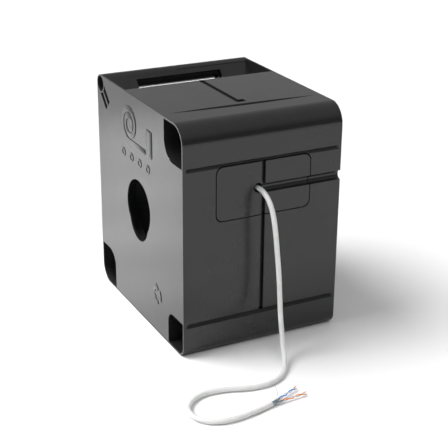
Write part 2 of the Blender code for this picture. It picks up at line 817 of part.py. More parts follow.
# The free cable's route, from the outlet down to the floor and round to its stripped end.
TAIL_ROUTE = [
    (CABLE_OUT_X, FRONT_Y + 0.004, CABLE_OUT_Z),
    (CABLE_OUT_X, FRONT_Y - 0.006, CABLE_OUT_Z - 0.0002),
    (-0.0068, FRONT_Y - 0.016, CABLE_OUT_Z - 0.003),
    (-0.0063, FRONT_Y - 0.026, 0.2347),
    (-0.0055, FRONT_Y - 0.034, 0.2240),
    (-0.0045, FRONT_Y - 0.0395, 0.2080),
    (-0.0030, FRONT_Y - 0.0430, 0.1850),
    (-0.0010, FRONT_Y - 0.0455, 0.1550),
    (0.0010, FRONT_Y - 0.0475, 0.1250),
    (0.0020, FRONT_Y - 0.0495, 0.0950),
    (0.0020, FRONT_Y - 0.0530, 0.0680),
    (0.0015, FRONT_Y - 0.0590, 0.0430),
    (-0.0010, FRONT_Y - 0.0690, 0.0220),
    (-0.0070, FRONT_Y - 0.0840, 0.0090),
    (-0.0180, FRONT_Y - 0.1010, CABLE_REST + 0.0006),
    (-0.0350, FRONT_Y - 0.1150, CABLE_REST),
    (-0.0580, FRONT_Y - 0.1220, CABLE_REST),
    (-0.0850, FRONT_Y - 0.1190, CABLE_REST),
    (-0.1150, FRONT_Y - 0.1090, CABLE_REST),
    (-0.1440, FRONT_Y - 0.1060, CABLE_REST),
    (-0.1690, FRONT_Y - 0.1160, CABLE_REST),
    (-0.1830, FRONT_Y - 0.1360, CABLE_REST),
    (-0.1810, FRONT_Y - 0.1590, CABLE_REST),
    (-0.1640, FRONT_Y - 0.1760, CABLE_REST),
    (-0.1380, FRONT_Y - 0.1810, CABLE_REST),
    (-0.1060, FRONT_Y - 0.1770, CABLE_REST),
    (-0.0760, FRONT_Y - 0.1700, CABLE_REST),
]
# The lead inside the box, from the winding to the outlet.
LEAD_ROUTE = [
    (-0.030, -0.0050, SPOOL_Z + 0.1290),
    (-0.026, -0.0380, SPOOL_Z + 0.1232),
    (-0.020, -0.0700, SPOOL_Z + 0.1080),
    (-0.014, -0.0980, SPOOL_Z + 0.0900),
    (-0.0095, -0.1220, SPOOL_Z + 0.0728),
    (-0.0075, -0.1400, CABLE_OUT_Z + 0.0006),
    (CABLE_OUT_X, FRONT_Y + 0.004 + GAP, CABLE_OUT_Z),
]


def vectors(route):
    return [Vector(point) for point in route]


def make_cable():
    jacket = material("white_cable_jacket", (0.82, 0.82, 0.82), 0.4)
    foil = material("screen_foil", (0.55, 0.62, 0.66), 0.3, 0.9)
    colours = {
        "blue": material("blue_wire", (0.05, 0.22, 0.62), 0.35),
        "blue_white": material("white_wire_of_blue_pair", (0.80, 0.82, 0.86), 0.35),
        "orange": material("orange_wire", (0.80, 0.25, 0.05), 0.35),
        "orange_white": material("white_wire_of_orange_pair", (0.86, 0.82, 0.78), 0.35),
    }
    copper = material("bare_copper", (0.80, 0.36, 0.22), 0.3, 1.0)
    tin = material("tinned_drain_wire", (0.75, 0.75, 0.77), 0.3, 1.0)
    spacing = 2.6 * CABLE_R
    tube("cable_lead", smooth_route(vectors(LEAD_ROUTE), spacing), CABLE_R, parts, jacket)
    tail = smooth_route(vectors(TAIL_ROUTE), spacing)
    tube("cable_tail", tail, CABLE_R, parts, jacket)
    end = tail[-1]
    ahead = (tail[-1] - tail[-2]).normalized()
    across = Vector((0, 0, 1)).cross(ahead)
    start = end + ahead * GAP
    tube("foil_screen", [start, start + ahead * SCREEN_LENGTH], SCREEN_R, parts, foil)
    start = start + ahead * (SCREEN_LENGTH + GAP)
    for pair, side in (("blue", 1), ("orange", -1)):
        centre = start + across * side * PAIR_SPREAD
        heading = (ahead + across * side * PAIR_SPLAY / PAIR_LENGTH).normalized()
        wrap_end = centre + heading * PAIR_FOIL_LENGTH
        tube(f"pair_foil_{pair}", [centre, wrap_end], PAIR_FOIL_R, parts, foil)
        make_pair(pair, wrap_end + heading * GAP, heading, colours, copper)
    for name, side in (("long", 1), ("short", -1)):
        root = start + across * side * (PAIR_SPREAD + PAIR_FOIL_R + DRAIN_R + GAP)
        middle = root + ahead * 0.45 * DRAIN_LENGTH + across * side * 0.25 * DRAIN_LENGTH
        tip = root + ahead * 0.75 * DRAIN_LENGTH + across * side * 0.75 * DRAIN_LENGTH
        lift = Vector((0, 0, DRAIN_LIFT * DRAIN_LENGTH if side > 0 else 0))
        route = smooth_route([root, middle + lift * 0.4, tip + lift], 0.004)
        tube(f"drain_wire_{name}", route, DRAIN_R, parts, tin, 1)


def make_pair(pair, start, heading, colours, copper):
    """Two insulated wires twisted round each other, each with a bare tip."""
    side = Vector((0, 0, 1)).cross(heading).normalized()
    up = heading.cross(side)
    offset = WIRE_R + GAP
    steps = 14
    for strand, phase in (("", 0), ("_white", math.pi)):
        route = []
        for step in range(steps + 1):
            walked = PAIR_LENGTH * step / steps
            angle = phase + 2 * math.pi * walked / PAIR_PITCH
            swing = side * math.cos(angle) + up * math.sin(angle)
            route.append(start + heading * walked + swing * offset)
        name = pair + strand
        tube(f"wire_{name}", route, WIRE_R, parts, colours[name], 1)
        out = (route[-1] - route[-2]).normalized()
        bare = route[-1] + out * GAP
        tube(f"copper_tip_{name}", [bare, bare + out * COPPER_LENGTH], COPPER_R, parts, copper, 1)


clear_scene()
parts = new_collection("cable_spool_box")
cutters = new_collection("cutters")
make_box()
make_spool()
make_cable()
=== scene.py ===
"""Looks of the cable spool box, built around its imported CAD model.

Frame: metres, +Z up. The origin is the centre of the box's footprint and the front face looks along -Y.
"""

import json
import math
import random

import bmesh
import bpy
from mathutils import Matrix, Vector


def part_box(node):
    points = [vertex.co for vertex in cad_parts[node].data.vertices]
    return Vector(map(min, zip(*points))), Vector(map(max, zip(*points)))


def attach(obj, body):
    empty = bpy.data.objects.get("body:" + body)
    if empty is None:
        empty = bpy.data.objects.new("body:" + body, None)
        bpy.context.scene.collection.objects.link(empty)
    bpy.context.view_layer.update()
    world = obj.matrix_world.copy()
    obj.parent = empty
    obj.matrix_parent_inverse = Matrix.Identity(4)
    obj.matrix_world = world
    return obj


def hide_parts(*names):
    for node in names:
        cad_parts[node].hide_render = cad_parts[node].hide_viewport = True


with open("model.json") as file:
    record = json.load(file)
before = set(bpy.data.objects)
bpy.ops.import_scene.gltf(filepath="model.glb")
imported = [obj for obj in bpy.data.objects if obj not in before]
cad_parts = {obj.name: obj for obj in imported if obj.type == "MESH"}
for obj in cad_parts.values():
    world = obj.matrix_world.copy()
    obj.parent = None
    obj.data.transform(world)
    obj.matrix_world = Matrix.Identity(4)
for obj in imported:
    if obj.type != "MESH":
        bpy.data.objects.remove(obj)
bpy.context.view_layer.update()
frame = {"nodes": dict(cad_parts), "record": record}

# ---- Sizes, in metres --------------------------------------------------------------------

HALF_WIDTH = float(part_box("shell_right")[1][0])
FRONT_Y = float(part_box("shell_left")[0][1])
REAR_Y = float(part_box("shell_left")[1][1])
HEIGHT = float(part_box("shell_left")[1][2])
SPOOL_Z = frame["record"]["behaviour"]["joints"][0]["pos_m"][2]

GAP = 0.0003
PLATE = 0.003
WALL = 0.0035
RIM = 0.0035
RIM_HALF = 0.010
SKIN = 0.003
INNER_WALL = 0.0025
EDGE = 0.001
SOFT_EDGE = 0.00045       # rounding of the moulded outer edges
PLATE_EDGE = 0.0002       # rounding of the outlet plate's edges
SPOOL_EDGE = 0.0004       # rounding of the spool's edges
SEAM_HAIR = 0.00002       # half the width of the closed joint between the half shells

TOP_FRONT_R = 0.030
BOTTOM_FRONT_R = 0.016
BOTTOM_REAR_R = 0.028

# The channels along three of the box's edges: how far each reaches in and up or down, and
# the rounding of its inner corner.
TOP_FRONT_POCKET_Y = -0.0965
TOP_FRONT_POCKET_Z = 0.290
TOP_FRONT_POCKET_R = 0.030
BOTTOM_FRONT_POCKET_Y = -0.1045
BOTTOM_FRONT_POCKET_Z = 0.054
BOTTOM_FRONT_POCKET_R = 0.016
BOTTOM_REAR_POCKET_Y = 0.1015
BOTTOM_REAR_POCKET_Z = 0.0645
BOTTOM_REAR_POCKET_R = 0.025

HANDLE_R = 0.014
HANDLE_BORE_R = 0.012
HANDLE_Y = REAR_Y - HANDLE_R
HANDLE_Z = HEIGHT - HANDLE_R
GRIP_HALF = 0.073
GRIP_LIP = 0.00866
GRIP_PAST = 0.004
GRIP_ARC_START = 173.2    # degrees round the tube, where its skin ends at the lip
GRIP_ARC_END = 305
SLAB_HALF = HANDLE_R
SLAB_ROOT = 0.0006
CHEEK = 0.0025
SLOT_NEAR_R = 0.0148
SLOT_FAR = 0.0405
SLOT_IN = 0.0024
SLOT_OUT = 0.0108
SLOT_STEPS = 6
PANEL_END_Y = 0.0485
SLOPED_WALL = 0.003

JOURNAL_IN_R = 0.057
JOURNAL_R = 0.060
JOURNAL_LENGTH = 0.016
FLANGE_OUTER_X = 0.119
FLANGE_THICK = 0.003
CORE_R = 0.078
WINDING_R = 0.124

KEYHOLE_Z = 0.180
KEYHOLE_R = 0.043
KEYHOLE_FOOT_Z = 0.1595
KEYHOLE_FOOT_R = 0.033

GROOVE_DEPTH = 0.0023
GROOVE_HALF_LENGTH = 0.122
UPPER_GROOVE_Z = 0.2878
UPPER_GROOVE_HALF = 0.0029
LOWER_GROOVE_Z = 0.0511
LOWER_GROOVE_HALF = 0.0041
SEAM_GROOVE_X = -0.0010
SEAM_GROOVE_HALF = 0.0032
SEAM_GROOVE_DEPTH = 0.005
SEAM_GROOVE_LOW = 0.053
SEAM_GROOVE_HIGH = 0.286
TOP_GROOVE_X = -0.0007
TOP_GROOVE_HALF = 0.0038
TOP_GROOVE_DEPTH = 0.0026
TOP_GROOVE_FRONT_Y = -0.0797
TOP_GROOVE_LIP = 0.0012
HOOK_LENGTH = 0.011
HOOK_DEPTH_Y = 0.0105
CREASE_Y = -0.0925
CREASE_TILT = -0.034
CREASE_HALF_LENGTH = 0.117
CREASE_HALF_WIDTH = 0.0075
CREASE_DEPTH = 0.0023
SLIVER = 0.0001

CHANNEL_Z = 0.2443
CHANNEL_R = 0.0068
PAD_HALF = 0.0105
PAD_Y = FRONT_Y + 0.0095
OUTLET_X = -0.009
OUTLET_Z = 0.2462
OUTLET_R = 0.0072
CABLE_OUT_X = -0.0070
CABLE_OUT_Z = 0.2440

HATCH_HALF = 0.0750
HATCH_LOW = 0.2049
HATCH_HIGH = 0.2849
HATCH_CORNER = 0.0105
HATCH_GAP = 0.0012
HATCH_PLATE = 0.0035
HATCH_FRAME = 0.003
HATCH_RIB = 0.0025

CABLE_R = 0.00375
CABLE_REST = CABLE_R + GAP
SCREEN_R = 0.0031
SCREEN_LENGTH = 0.009
PAIR_FOIL_R = 0.0018
PAIR_FOIL_LENGTH = 0.008
WIRE_R = 0.00085
PAIR_LENGTH = 0.034
PAIR_PITCH = 0.022
PAIR_SPREAD = 0.0021
PAIR_SPLAY = 0.0055
COPPER_LENGTH = 0.005
DRAIN_R = 0.0003
DRAIN_LENGTH = 0.026
DRAIN_LIFT = 0.2

ARC_STEP = math.radians(4)
PAST = 0.02


# ---- Points and outlines -----------------------------------------------------------------


def arc(centre, radius, start, end, steps):
    """Points along an arc between two angles in degrees."""
    points = []
    for step in range(steps + 1):
        angle = math.radians(start + (end - start) * step / steps)
        points.append((centre[0] + radius * math.cos(angle), centre[1] + radius * math.sin(angle)))
    return points


def circle(centre, radius, steps=96):
    return arc(centre, radius, 0, 360, steps)[:-1]


def rounded(corners):
    """A closed outline whose corners (a, b, radius) are rounded."""
    points = []
    for index, (a, b, radius) in enumerate(corners):
        here = Vector((a, b))
        before = (Vector(corners[index - 1][:2]) - here).normalized()
        after = (Vector(corners[(index + 1) % len(corners)][:2]) - here).normalized()
        half = before.angle(after) / 2
        reach = radius / math.tan(half)
        turn = math.pi - 2 * half
        centre = here + (before + after).normalized() * (radius / math.sin(half))
        start = here + before * reach - centre
        end = here + after * reach - centre
        steps = max(3, round(turn / ARC_STEP)) if radius > 2 * EDGE else 3
        for step in range(steps + 1):
            share = step / steps
            swung = start * math.sin((1 - share) * turn) + end * math.sin(share * turn)
            points.append(tuple(centre + swung / math.sin(turn)))
    return points


def from_handle(along, across):
    """A point placed from the handle's axis: along the slab, down and forward, and across it."""
    slope = math.sqrt(0.5)
    return (HANDLE_Y - slope * (along + across), HANDLE_Z - slope * (along - across))


def smooth_route(points, spacing):
    """Evenly spaced points on a smooth curve through the given ones."""
    points = [Vector(point) for point in points]
    ends = [points[0] * 2 - points[1]] + points + [points[-1] * 2 - points[-2]]
    dense = []
    for i in range(1, len(ends) - 2):
        p0, p1, p2, p3 = ends[i - 1 : i + 3]
        for step in range(20):
            t = step / 20
            dense.append(
                0.5 * (2 * p1 + (p2 - p0) * t + (2 * p0 - 5 * p1 + 4 * p2 - p3) * t**2
                       + (3 * p1 - p0 - 3 * p2 + p3) * t**3)
            )
    dense.append(points[-1].copy())
    length = sum((b - a).length for a, b in zip(dense, dense[1:]))
    count = max(2, round(length / spacing))
    route = [dense[0]]
    walked = 0.0
    for a, b in zip(dense, dense[1:]):
        step = (b - a).length
        while len(route) < count and walked + step >= len(route) * length / count:
            share = (len(route) * length / count - walked) / step
            route.append(a.lerp(b, share))
        walked += step
    route.append(dense[-1])
    return route


# ---- Blender objects ---------------------------------------------------------------------


def link(name, data):
    obj = bpy.data.objects.new(name, data)
    bpy.context.scene.collection.objects.link(obj)
    return obj


def mesh_object(name, shape):
    """A new object with the given bmesh, which is freed."""
    mesh = bpy.data.meshes.new(name)
    shape.to_mesh(mesh)
    shape.free()
    return link(name, mesh)


def bridge(shape, first, second):
    """Faces between two closed rings of the same number of points."""
    for a, b, c, d in zip(first, first[1:] + first[:1], second[1:] + second[:1], second):
        shape.faces.new((a, b, c, d))


def settled(obj):
    """The object with its curve or its modifiers turned into a plain mesh."""
    bpy.context.view_layer.update()
    mesh = bpy.data.meshes.new_from_object(obj.evaluated_get(bpy.context.evaluated_depsgraph_get()))
    name = obj.name
    bpy.data.objects.remove(obj, do_unlink=True)
    mesh.name = name
    return link(name, mesh)


def weld(obj):
    shape = bmesh.new()
    shape.from_mesh(obj.data)
    bmesh.ops.remove_doubles(shape, verts=shape.verts, dist=1e-6)
    bmesh.ops.recalc_face_normals(shape, faces=shape.faces)
    shape.to_mesh(obj.data)
    shape.free()


def extruded(name, outlines, matrix, thickness, edge=0.0):
    """A flat outline, with any holes as further outlines, extruded half each way from its plane."""
    curve = bpy.data.curves.new(name, "CURVE")
    curve.dimensions = "2D"
    curve.fill_mode = "BOTH"
    curve.extrude = thickness / 2 - edge
    curve.bevel_depth = edge
    curve.bevel_resolution = 1
    curve.offset = -edge
    for outline in outlines:
        spline = curve.splines.new("POLY")
        spline.points.add(len(outline) - 1)
        for point, (a, b) in zip(spline.points, outline):
            point.co = (a, b, 0, 1)
        spline.use_cyclic_u = True
    obj = settled(link(name, curve))
    obj.data.transform(matrix)
    weld(obj)
    return obj


def along_x(name, outlines, x_from, x_to, edge=0.0):
    """Outlines in (y, z), extruded along X."""
    turn = Matrix(((0, 0, 1, (x_from + x_to) / 2), (1, 0, 0, 0), (0, 1, 0, 0), (0, 0, 0, 1)))
    return extruded(name, outlines, turn, abs(x_to - x_from), edge)


def along_y(name, outlines, y_from, y_to, edge=0.0):
    """Outlines in (x, z), extruded along Y."""
    turn = Matrix(((1, 0, 0, 0), (0, 0, -1, (y_from + y_to) / 2), (0, 1, 0, 0), (0, 0, 0, 1)))
    return extruded(name, outlines, turn, abs(y_to - y_from), edge)


def block(name, low, high):
    """A box between two corners, for cutting."""
    shape = bmesh.new()
    bmesh.ops.create_cube(shape, size=1)
    middle = [(a + b) / 2 for a, b in zip(low, high)]
    size = [b - a for a, b in zip(low, high)]
    placed = Matrix.Translation(middle) @ Matrix.Diagonal((*size, 1))
    bmesh.ops.transform(shape, matrix=placed, verts=shape.verts)
    return mesh_object(name, shape)


# The section of a dent in the top panel, from front to rear. Each pair is a place and a depth,
# as shares of the dent's half width and of its depth.
DENT_SECTION = [(-1, 0), (-0.55, 0.17), (0.2, 0.95), (0.3, 1), (0.38, 0.92), (0.55, 0)]


def lens_cutter(name, centre, half_length, half_width, depth, tilt=0.0):
    """A lens-shaped dent along X in the top panel, deepest in its middle and steep at its rear."""
    above = 0.001
    count = 24
    shape = bmesh.new()
    rings = []
    for step in range(1, count):
        across = 2 * step / count - 1
        swell = 1 - across**2
        x = centre[0] + half_length * across
        middle = centre[1] + tilt * half_length * across
        ring = []
        for place, deep in DENT_SECTION:
            z = HEIGHT - deep * depth * swell if deep else HEIGHT + SLIVER
            ring.append(shape.verts.new((x, middle + place * half_width * swell, z)))
        ring.append(shape.verts.new((x, middle, HEIGHT + above)))
        rings.append(ring)
    for first, second in zip(rings, rings[1:]):
        bridge(shape, first, second)
    for ring, end in ((rings[0], -half_length), (rings[-1], half_length)):
        tip = shape.verts.new((centre[0] + end, centre[1] + tilt * end, HEIGHT + SLIVER))
        for here, following in zip(ring, ring[1:] + ring[:1]):
            shape.faces.new((tip, here, following))
    bmesh.ops.recalc_face_normals(shape, faces=shape.faces)
    return mesh_object(name, shape)


def boolean(target, tools, operation="DIFFERENCE"):
    for tool in tools:
        modifier = target.modifiers.new(tool.name, "BOOLEAN")
        modifier.operation = operation
        modifier.solver = "EXACT"
        modifier.object = tool
    return target


def discard(tools):
    for tool in tools:
        bpy.data.objects.remove(tool, do_unlink=True)


def rounds(edge, angle):
    """Whether an edge is a sharp outer one, away from the hidden joint between the half shells."""
    if len(edge.link_faces) != 2 or not edge.is_convex:
        return False
    if all(abs(vertex.co.x) < GAP for vertex in edge.verts):
        return False
    return edge.calc_face_angle() > math.radians(angle)


def softened(obj, width, angle=25):
    """The object settled, with its sharp outer edges rounded and its flat faces shaded flat."""
    obj = settled(obj)
    shape = bmesh.new()
    shape.from_mesh(obj.data)
    bmesh.ops.remove_doubles(shape, verts=shape.verts, dist=2e-6)
    bmesh.ops.dissolve_limit(
        shape, angle_limit=math.radians(0.5), verts=shape.verts, edges=shape.edges, delimit=set()
    )
    weights = shape.edges.layers.float.new("bevel_weight_edge")
    for edge in shape.edges:
        edge[weights] = float(rounds(edge, angle))
    shape.to_mesh(obj.data)
    shape.free()
    bevel = obj.modifiers.new("edges", "BEVEL")
    bevel.width = width
    bevel.segments = 2
    bevel.limit_method = "WEIGHT"
    bevel.use_clamp_overlap = False
    obj = settled(obj)
    smooth(obj, 30)
    normals = obj.modifiers.new("normals", "WEIGHTED_NORMAL")
    normals.keep_sharp = True
    normals.weight = 90
    return obj


def smooth(obj, angle):
    obj.data.shade_smooth()
    obj.data.set_sharp_from_angle(angle=math.radians(angle))


def tube(name, points, radius, sides=4):
    curve = bpy.data.curves.new(name, "CURVE")
    curve.dimensions = "3D"
    curve.bevel_depth = radius
    curve.bevel_resolution = sides
    curve.use_fill_caps = True
    spline = curve.splines.new("POLY")
    spline.points.add(len(points) - 1)
    for point, place in zip(spline.points, points):
        point.co = (*place, 1)
    spline.use_smooth = True
    return link(name, curve)


def dress(obj, look, body="box"):
    """Gives a new piece its material and the body it rides on."""
    obj.data.materials.clear()
    obj.data.materials.append(look)
    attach(obj, body)
    return obj


# ---- Outlines of the box, in (y, z) --------------------------------------------------------


def outer_outline():
    return rounded([
        (FRONT_Y, 0, BOTTOM_FRONT_R),
        (REAR_Y, 0, BOTTOM_REAR_R),
        (REAR_Y, HEIGHT, HANDLE_R),
        (FRONT_Y, HEIGHT, TOP_FRONT_R),
    ])


def top_front_channel():
    return rounded([
        (FRONT_Y + SKIN, TOP_FRONT_POCKET_Z, EDGE),
        (TOP_FRONT_POCKET_Y, TOP_FRONT_POCKET_Z, TOP_FRONT_POCKET_R),
        (TOP_FRONT_POCKET_Y, HEIGHT - SKIN, EDGE),
        (FRONT_Y + SKIN, HEIGHT - SKIN, TOP_FRONT_R - SKIN),
    ])


def bottom_front_channel():
    return rounded([
        (FRONT_Y + SKIN, SKIN, BOTTOM_FRONT_R - SKIN),
        (BOTTOM_FRONT_POCKET_Y, SKIN, EDGE),
        (BOTTOM_FRONT_POCKET_Y, BOTTOM_FRONT_POCKET_Z, BOTTOM_FRONT_POCKET_R),
        (FRONT_Y + SKIN, BOTTOM_FRONT_POCKET_Z, EDGE),
    ])


def bottom_rear_channel():
    return rounded([
        (BOTTOM_REAR_POCKET_Y, SKIN, EDGE),
        (REAR_Y - SKIN, SKIN, BOTTOM_REAR_R - SKIN),
        (REAR_Y - SKIN, BOTTOM_REAR_POCKET_Z, EDGE),
        (BOTTOM_REAR_POCKET_Y, BOTTOM_REAR_POCKET_Z, BOTTOM_REAR_POCKET_R),
    ])


def chamber(extra):
    """The spool's chamber. Its walls are thicker by extra at the seam between the half shells."""
    front = FRONT_Y + WALL + extra
    rear = REAR_Y - WALL - extra
    low = WALL + extra
    high = HEIGHT - WALL - extra
    wall = INNER_WALL + extra
    sloped = PANEL_END_Y + HEIGHT - (SLOPED_WALL + extra) * math.sqrt(2)
    pad = max(PAD_Y, front + EDGE)
    return rounded([
        (BOTTOM_FRONT_POCKET_Y + wall, low, EDGE),
        (BOTTOM_REAR_POCKET_Y - wall, low, EDGE),
        (BOTTOM_REAR_POCKET_Y - wall, BOTTOM_REAR_POCKET_Z + wall, BOTTOM_REAR_POCKET_R + wall),
        (rear, BOTTOM_REAR_POCKET_Z + wall, EDGE),
        (rear, sloped - rear, EDGE),
        (sloped - high, high, EDGE),
        (TOP_FRONT_POCKET_Y + wall, high, EDGE),
        (TOP_FRONT_POCKET_Y + wall, TOP_FRONT_POCKET_Z - wall, TOP_FRONT_POCKET_R + wall),
        (front, TOP_FRONT_POCKET_Z - wall, EDGE),
        (front, CHANNEL_Z + PAD_HALF, EDGE / 2),
        (pad, CHANNEL_Z + PAD_HALF, EDGE / 2),
        (pad, CHANNEL_Z - PAD_HALF, EDGE / 2),
        (front, CHANNEL_Z - PAD_HALF, EDGE / 2),
        (front, BOTTOM_FRONT_POCKET_Z + wall, EDGE),
        (BOTTOM_FRONT_POCKET_Y + wall, BOTTOM_FRONT_POCKET_Z + wall, BOTTOM_FRONT_POCKET_R + wall),
    ])


def slab_root():
    """How far along the slab its root on the sloped wall lies from the handle's axis."""
    return (HANDLE_Y + HANDLE_Z - PANEL_END_Y - HEIGHT) / math.sqrt(2)


def handle_recess():
    """The open space above the sloped wall and in front of the slab that carries the handle."""
    tube_side = arc((HANDLE_Y, HANDLE_Z), HANDLE_R, 135, 97, 12)
    return [
        (tube_side[-1][0], HEIGHT + PAST),
        (PANEL_END_Y, HEIGHT + PAST),
        (PANEL_END_Y, HEIGHT),
        from_handle(slab_root(), SLAB_HALF),
        *tube_side,
    ]


def rear_recess():
    """The open space below the slab, where a hand reaches in from behind."""
    behind = REAR_Y + PAST
    return [
        from_handle(0, -SLAB_HALF),
        from_handle(slab_root(), -SLAB_HALF),
        (behind, PANEL_END_Y + HEIGHT - behind),
        (behind, from_handle(0, -SLAB_HALF)[1]),
    ]


def grip_opening():
    """What is cut from the slab between the hand's two sides, up to the tube and its lip."""
    root = slab_root() - SLAB_ROOT
    beyond = SLAB_HALF + GRIP_PAST
    return [
        from_handle(GRIP_LIP, beyond),
        *arc((HANDLE_Y, HANDLE_Z), HANDLE_R, GRIP_ARC_START, GRIP_ARC_END, 32),
        from_handle(1.3 * HANDLE_R, -beyond),
        from_handle(root, -beyond),
        from_handle(root, beyond),
    ]


def slab_slot(side):
    """One of the two long hollows in the slab. Its near end follows the tube."""
    near = []
    for step in range(SLOT_STEPS + 1):
        across = SLOT_IN + (SLOT_OUT - SLOT_IN) * step / SLOT_STEPS
        near.append(from_handle(math.sqrt(SLOT_NEAR_R**2 - across**2), side * across))
    return [
        *near,
        from_handle(SLOT_FAR, side * SLOT_OUT),
        from_handle(SLOT_FAR, side * SLOT_IN),
    ]


def keyhole():
    """Two overlapping circles: the large eye and the smaller foot below it."""
    drop = KEYHOLE_Z - KEYHOLE_FOOT_Z
    up = (drop**2 + KEYHOLE_R**2 - KEYHOLE_FOOT_R**2) / (2 * drop)
    eye = math.degrees(math.asin(-up / KEYHOLE_R))
    foot = math.degrees(math.asin((drop - up) / KEYHOLE_FOOT_R))
    upper = arc((0, KEYHOLE_Z), KEYHOLE_R, eye, 180 - eye, 60)
    lower = arc((0, KEYHOLE_FOOT_Z), KEYHOLE_FOOT_R, 180 - foot, 360 + foot, 44)
    return upper + lower[1:-1]


def hatch_outline(grow):
    return rounded([
        (-HATCH_HALF - grow, HATCH_LOW - grow, HATCH_CORNER),
        (HATCH_HALF + grow, HATCH_LOW - grow, HATCH_CORNER),
        (HATCH_HALF + grow, HATCH_HIGH + grow, HATCH_CORNER),
        (-HATCH_HALF - grow, HATCH_HIGH + grow, HATCH_CORNER),
    ])


# ---- Materials -----------------------------------------------------------------------------


class Nodes:
    """A material's node tree, with short calls to add and join nodes."""

    def __init__(self, name):
        self.material = bpy.data.materials.new(name)
        self.material.use_nodes = True
        self.tree = self.material.node_tree
        self.shader = self.tree.nodes["Principled BSDF"]
        self.place = self.add("ShaderNodeTexCoord").outputs["Object"]

    def add(self, kind, **settings):
        node = self.tree.nodes.new(kind)
        for key, value in settings.items():
            setattr(node, key, value)
        return node

    def join(self, output, target):
        self.tree.links.new(output, target)

    def noise(self, size, detail=2.0, stretch=(1, 1, 1), roughness=0.5):
        """Noise whose blobs are about size metres across, stretched along the axes."""
        mapping = self.add("ShaderNodeMapping")
        mapping.inputs["Scale"].default_value = [1 / (size * s) for s in stretch]
        self.join(self.place, mapping.inputs["Vector"])
        noise = self.add("ShaderNodeTexNoise")
        noise.inputs["Scale"].default_value = 1.0
        noise.inputs["Detail"].default_value = detail
        noise.inputs["Roughness"].default_value = roughness
        self.join(mapping.outputs["Vector"], noise.inputs["Vector"])
        return noise.outputs["Fac"]

    def between(self, value, low, high, start=0.35, end=0.65):
        """Maps a 0 to 1 value onto a range."""
        ranged = self.add("ShaderNodeMapRange")
        ranged.inputs["From Min"].default_value = start
        ranged.inputs["From Max"].default_value = end
        ranged.inputs["To Min"].default_value = low
        ranged.inputs["To Max"].default_value = high
        self.join(value, ranged.inputs["Value"])
        return ranged.outputs["Result"]

    def colour(self, value, first, second):
        """Mixes two colours by a 0 to 1 value."""
        mix = self.add("ShaderNodeMix", data_type="RGBA")
        mix.inputs["A"].default_value = (*first, 1)
        mix.inputs["B"].default_value = (*second, 1)
        self.join(value, mix.inputs["Factor"])
        self.join(mix.outputs["Result"], self.shader.inputs["Base Color"])

    def bump(self, heights):
        """Stacks bumps of (height output, depth in metres)."""
        normal = None
        for height, depth in heights:
            bump = self.add("ShaderNodeBump")
            bump.inputs["Strength"].default_value = 1.0
            bump.inputs["Distance"].default_value = depth
            self.join(height, bump.inputs["Height"])
            if normal is not None:
                self.join(normal, bump.inputs["Normal"])
            normal = bump.outputs["Normal"]
        self.join(normal, self.shader.inputs["Normal"])

    def painted_crevice_shade(self, reach, darkest):
        """Painted shade: takes the sheen out of gaps narrower than about reach, so they look darker, as
        in shadow.
        """
        shade = self.add("ShaderNodeAmbientOcclusion", samples=8)
        shade.inputs["Distance"].default_value = reach
        sheen = self.between(shade.outputs["AO"], darkest, 0.5, 0.5, 0.97)
        self.join(sheen, self.shader.inputs["Specular IOR Level"])

    def set(self, **values):
        for name, value in values.items():
            self.shader.inputs[name.replace("_", " ")].default_value = value


def moulded_plastic(name, colour, roughness, grain, grain_depth):
    """Injection-moulded plastic: a fine spark-eroded grain, slight flow marks, uneven gloss and painted
    shade in narrow gaps.
    """
    nodes = Nodes(name)
    flow = nodes.noise(0.05, 3.0, stretch=(1, 1, 1.8))
    lighter = tuple(1.12 * channel for channel in colour)
    nodes.colour(nodes.between(flow, 0, 1), colour, lighter)
    cloudy = nodes.noise(0.018, 4.0)
    gloss = nodes.between(cloudy, roughness - 0.02, roughness + 0.03)
    nodes.join(gloss, nodes.shader.inputs["Roughness"])
    fine = nodes.noise(grain, 2.0)
    waves = nodes.noise(0.03, 1.0)
    nodes.bump([(waves, 0.000012), (fine, grain_depth)])
    # Painted shade: grooves and gaps lose their sheen according to how enclosed they are.
    nodes.painted_crevice_shade(0.005, 0.0)
    nodes.set(IOR=1.5)
    return nodes.material


def cable_jacket(name):
    """Smooth white jacket with faint lengthways unevenness and handling marks."""
    nodes = Nodes(name)
    marks = nodes.noise(0.012, 5.0)
    nodes.colour(nodes.between(marks, 0, 1, 0.45, 0.8), (0.76, 0.76, 0.755), (0.68, 0.68, 0.675))
    nodes.join(nodes.between(marks, 0.30, 0.42), nodes.shader.inputs["Roughness"])
    nodes.bump([(nodes.noise(0.004, 2.0), 0.00006), (nodes.noise(0.0006, 1.0), 0.000008)])
    nodes.set(IOR=1.5, Subsurface_Weight=0.08, Subsurface_Scale=0.001)
    return nodes.material


def crinkled_foil(name):
    """Aluminium screen foil with a blue-grey film, pressed into fine creases, with painted shade in
    their hollows.
    """
    nodes = Nodes(name)
    crease = nodes.noise(0.0016, 6.0, roughness=0.7)
    # Painted shade: the same noise that raises the creases also darkens the colour in their hollows.
    nodes.colour(nodes.between(crease, 0, 1), (0.20, 0.25, 0.29), (0.50, 0.56, 0.60))
    nodes.join(nodes.between(crease, 0.22, 0.45), nodes.shader.inputs["Roughness"])
    nodes.bump([(crease, 0.0004), (nodes.noise(0.0005, 2.0), 0.00005)])
    nodes.set(Metallic=0.85)
    return nodes.material


def wire_insulation(name, colour, shade):
    """Glossy foamed insulation with slight colour variation along the wire."""
    nodes = Nodes(name)
    nodes.colour(nodes.between(nodes.noise(0.003, 3.0), 0, 1), colour, shade)
    nodes.join(nodes.between(nodes.noise(0.001, 2.0), 0.22, 0.34), nodes.shader.inputs["Roughness"])
    nodes.bump([(nodes.noise(0.0012, 2.0), 0.00003)])
    nodes.set(IOR=1.5)
    return nodes.material


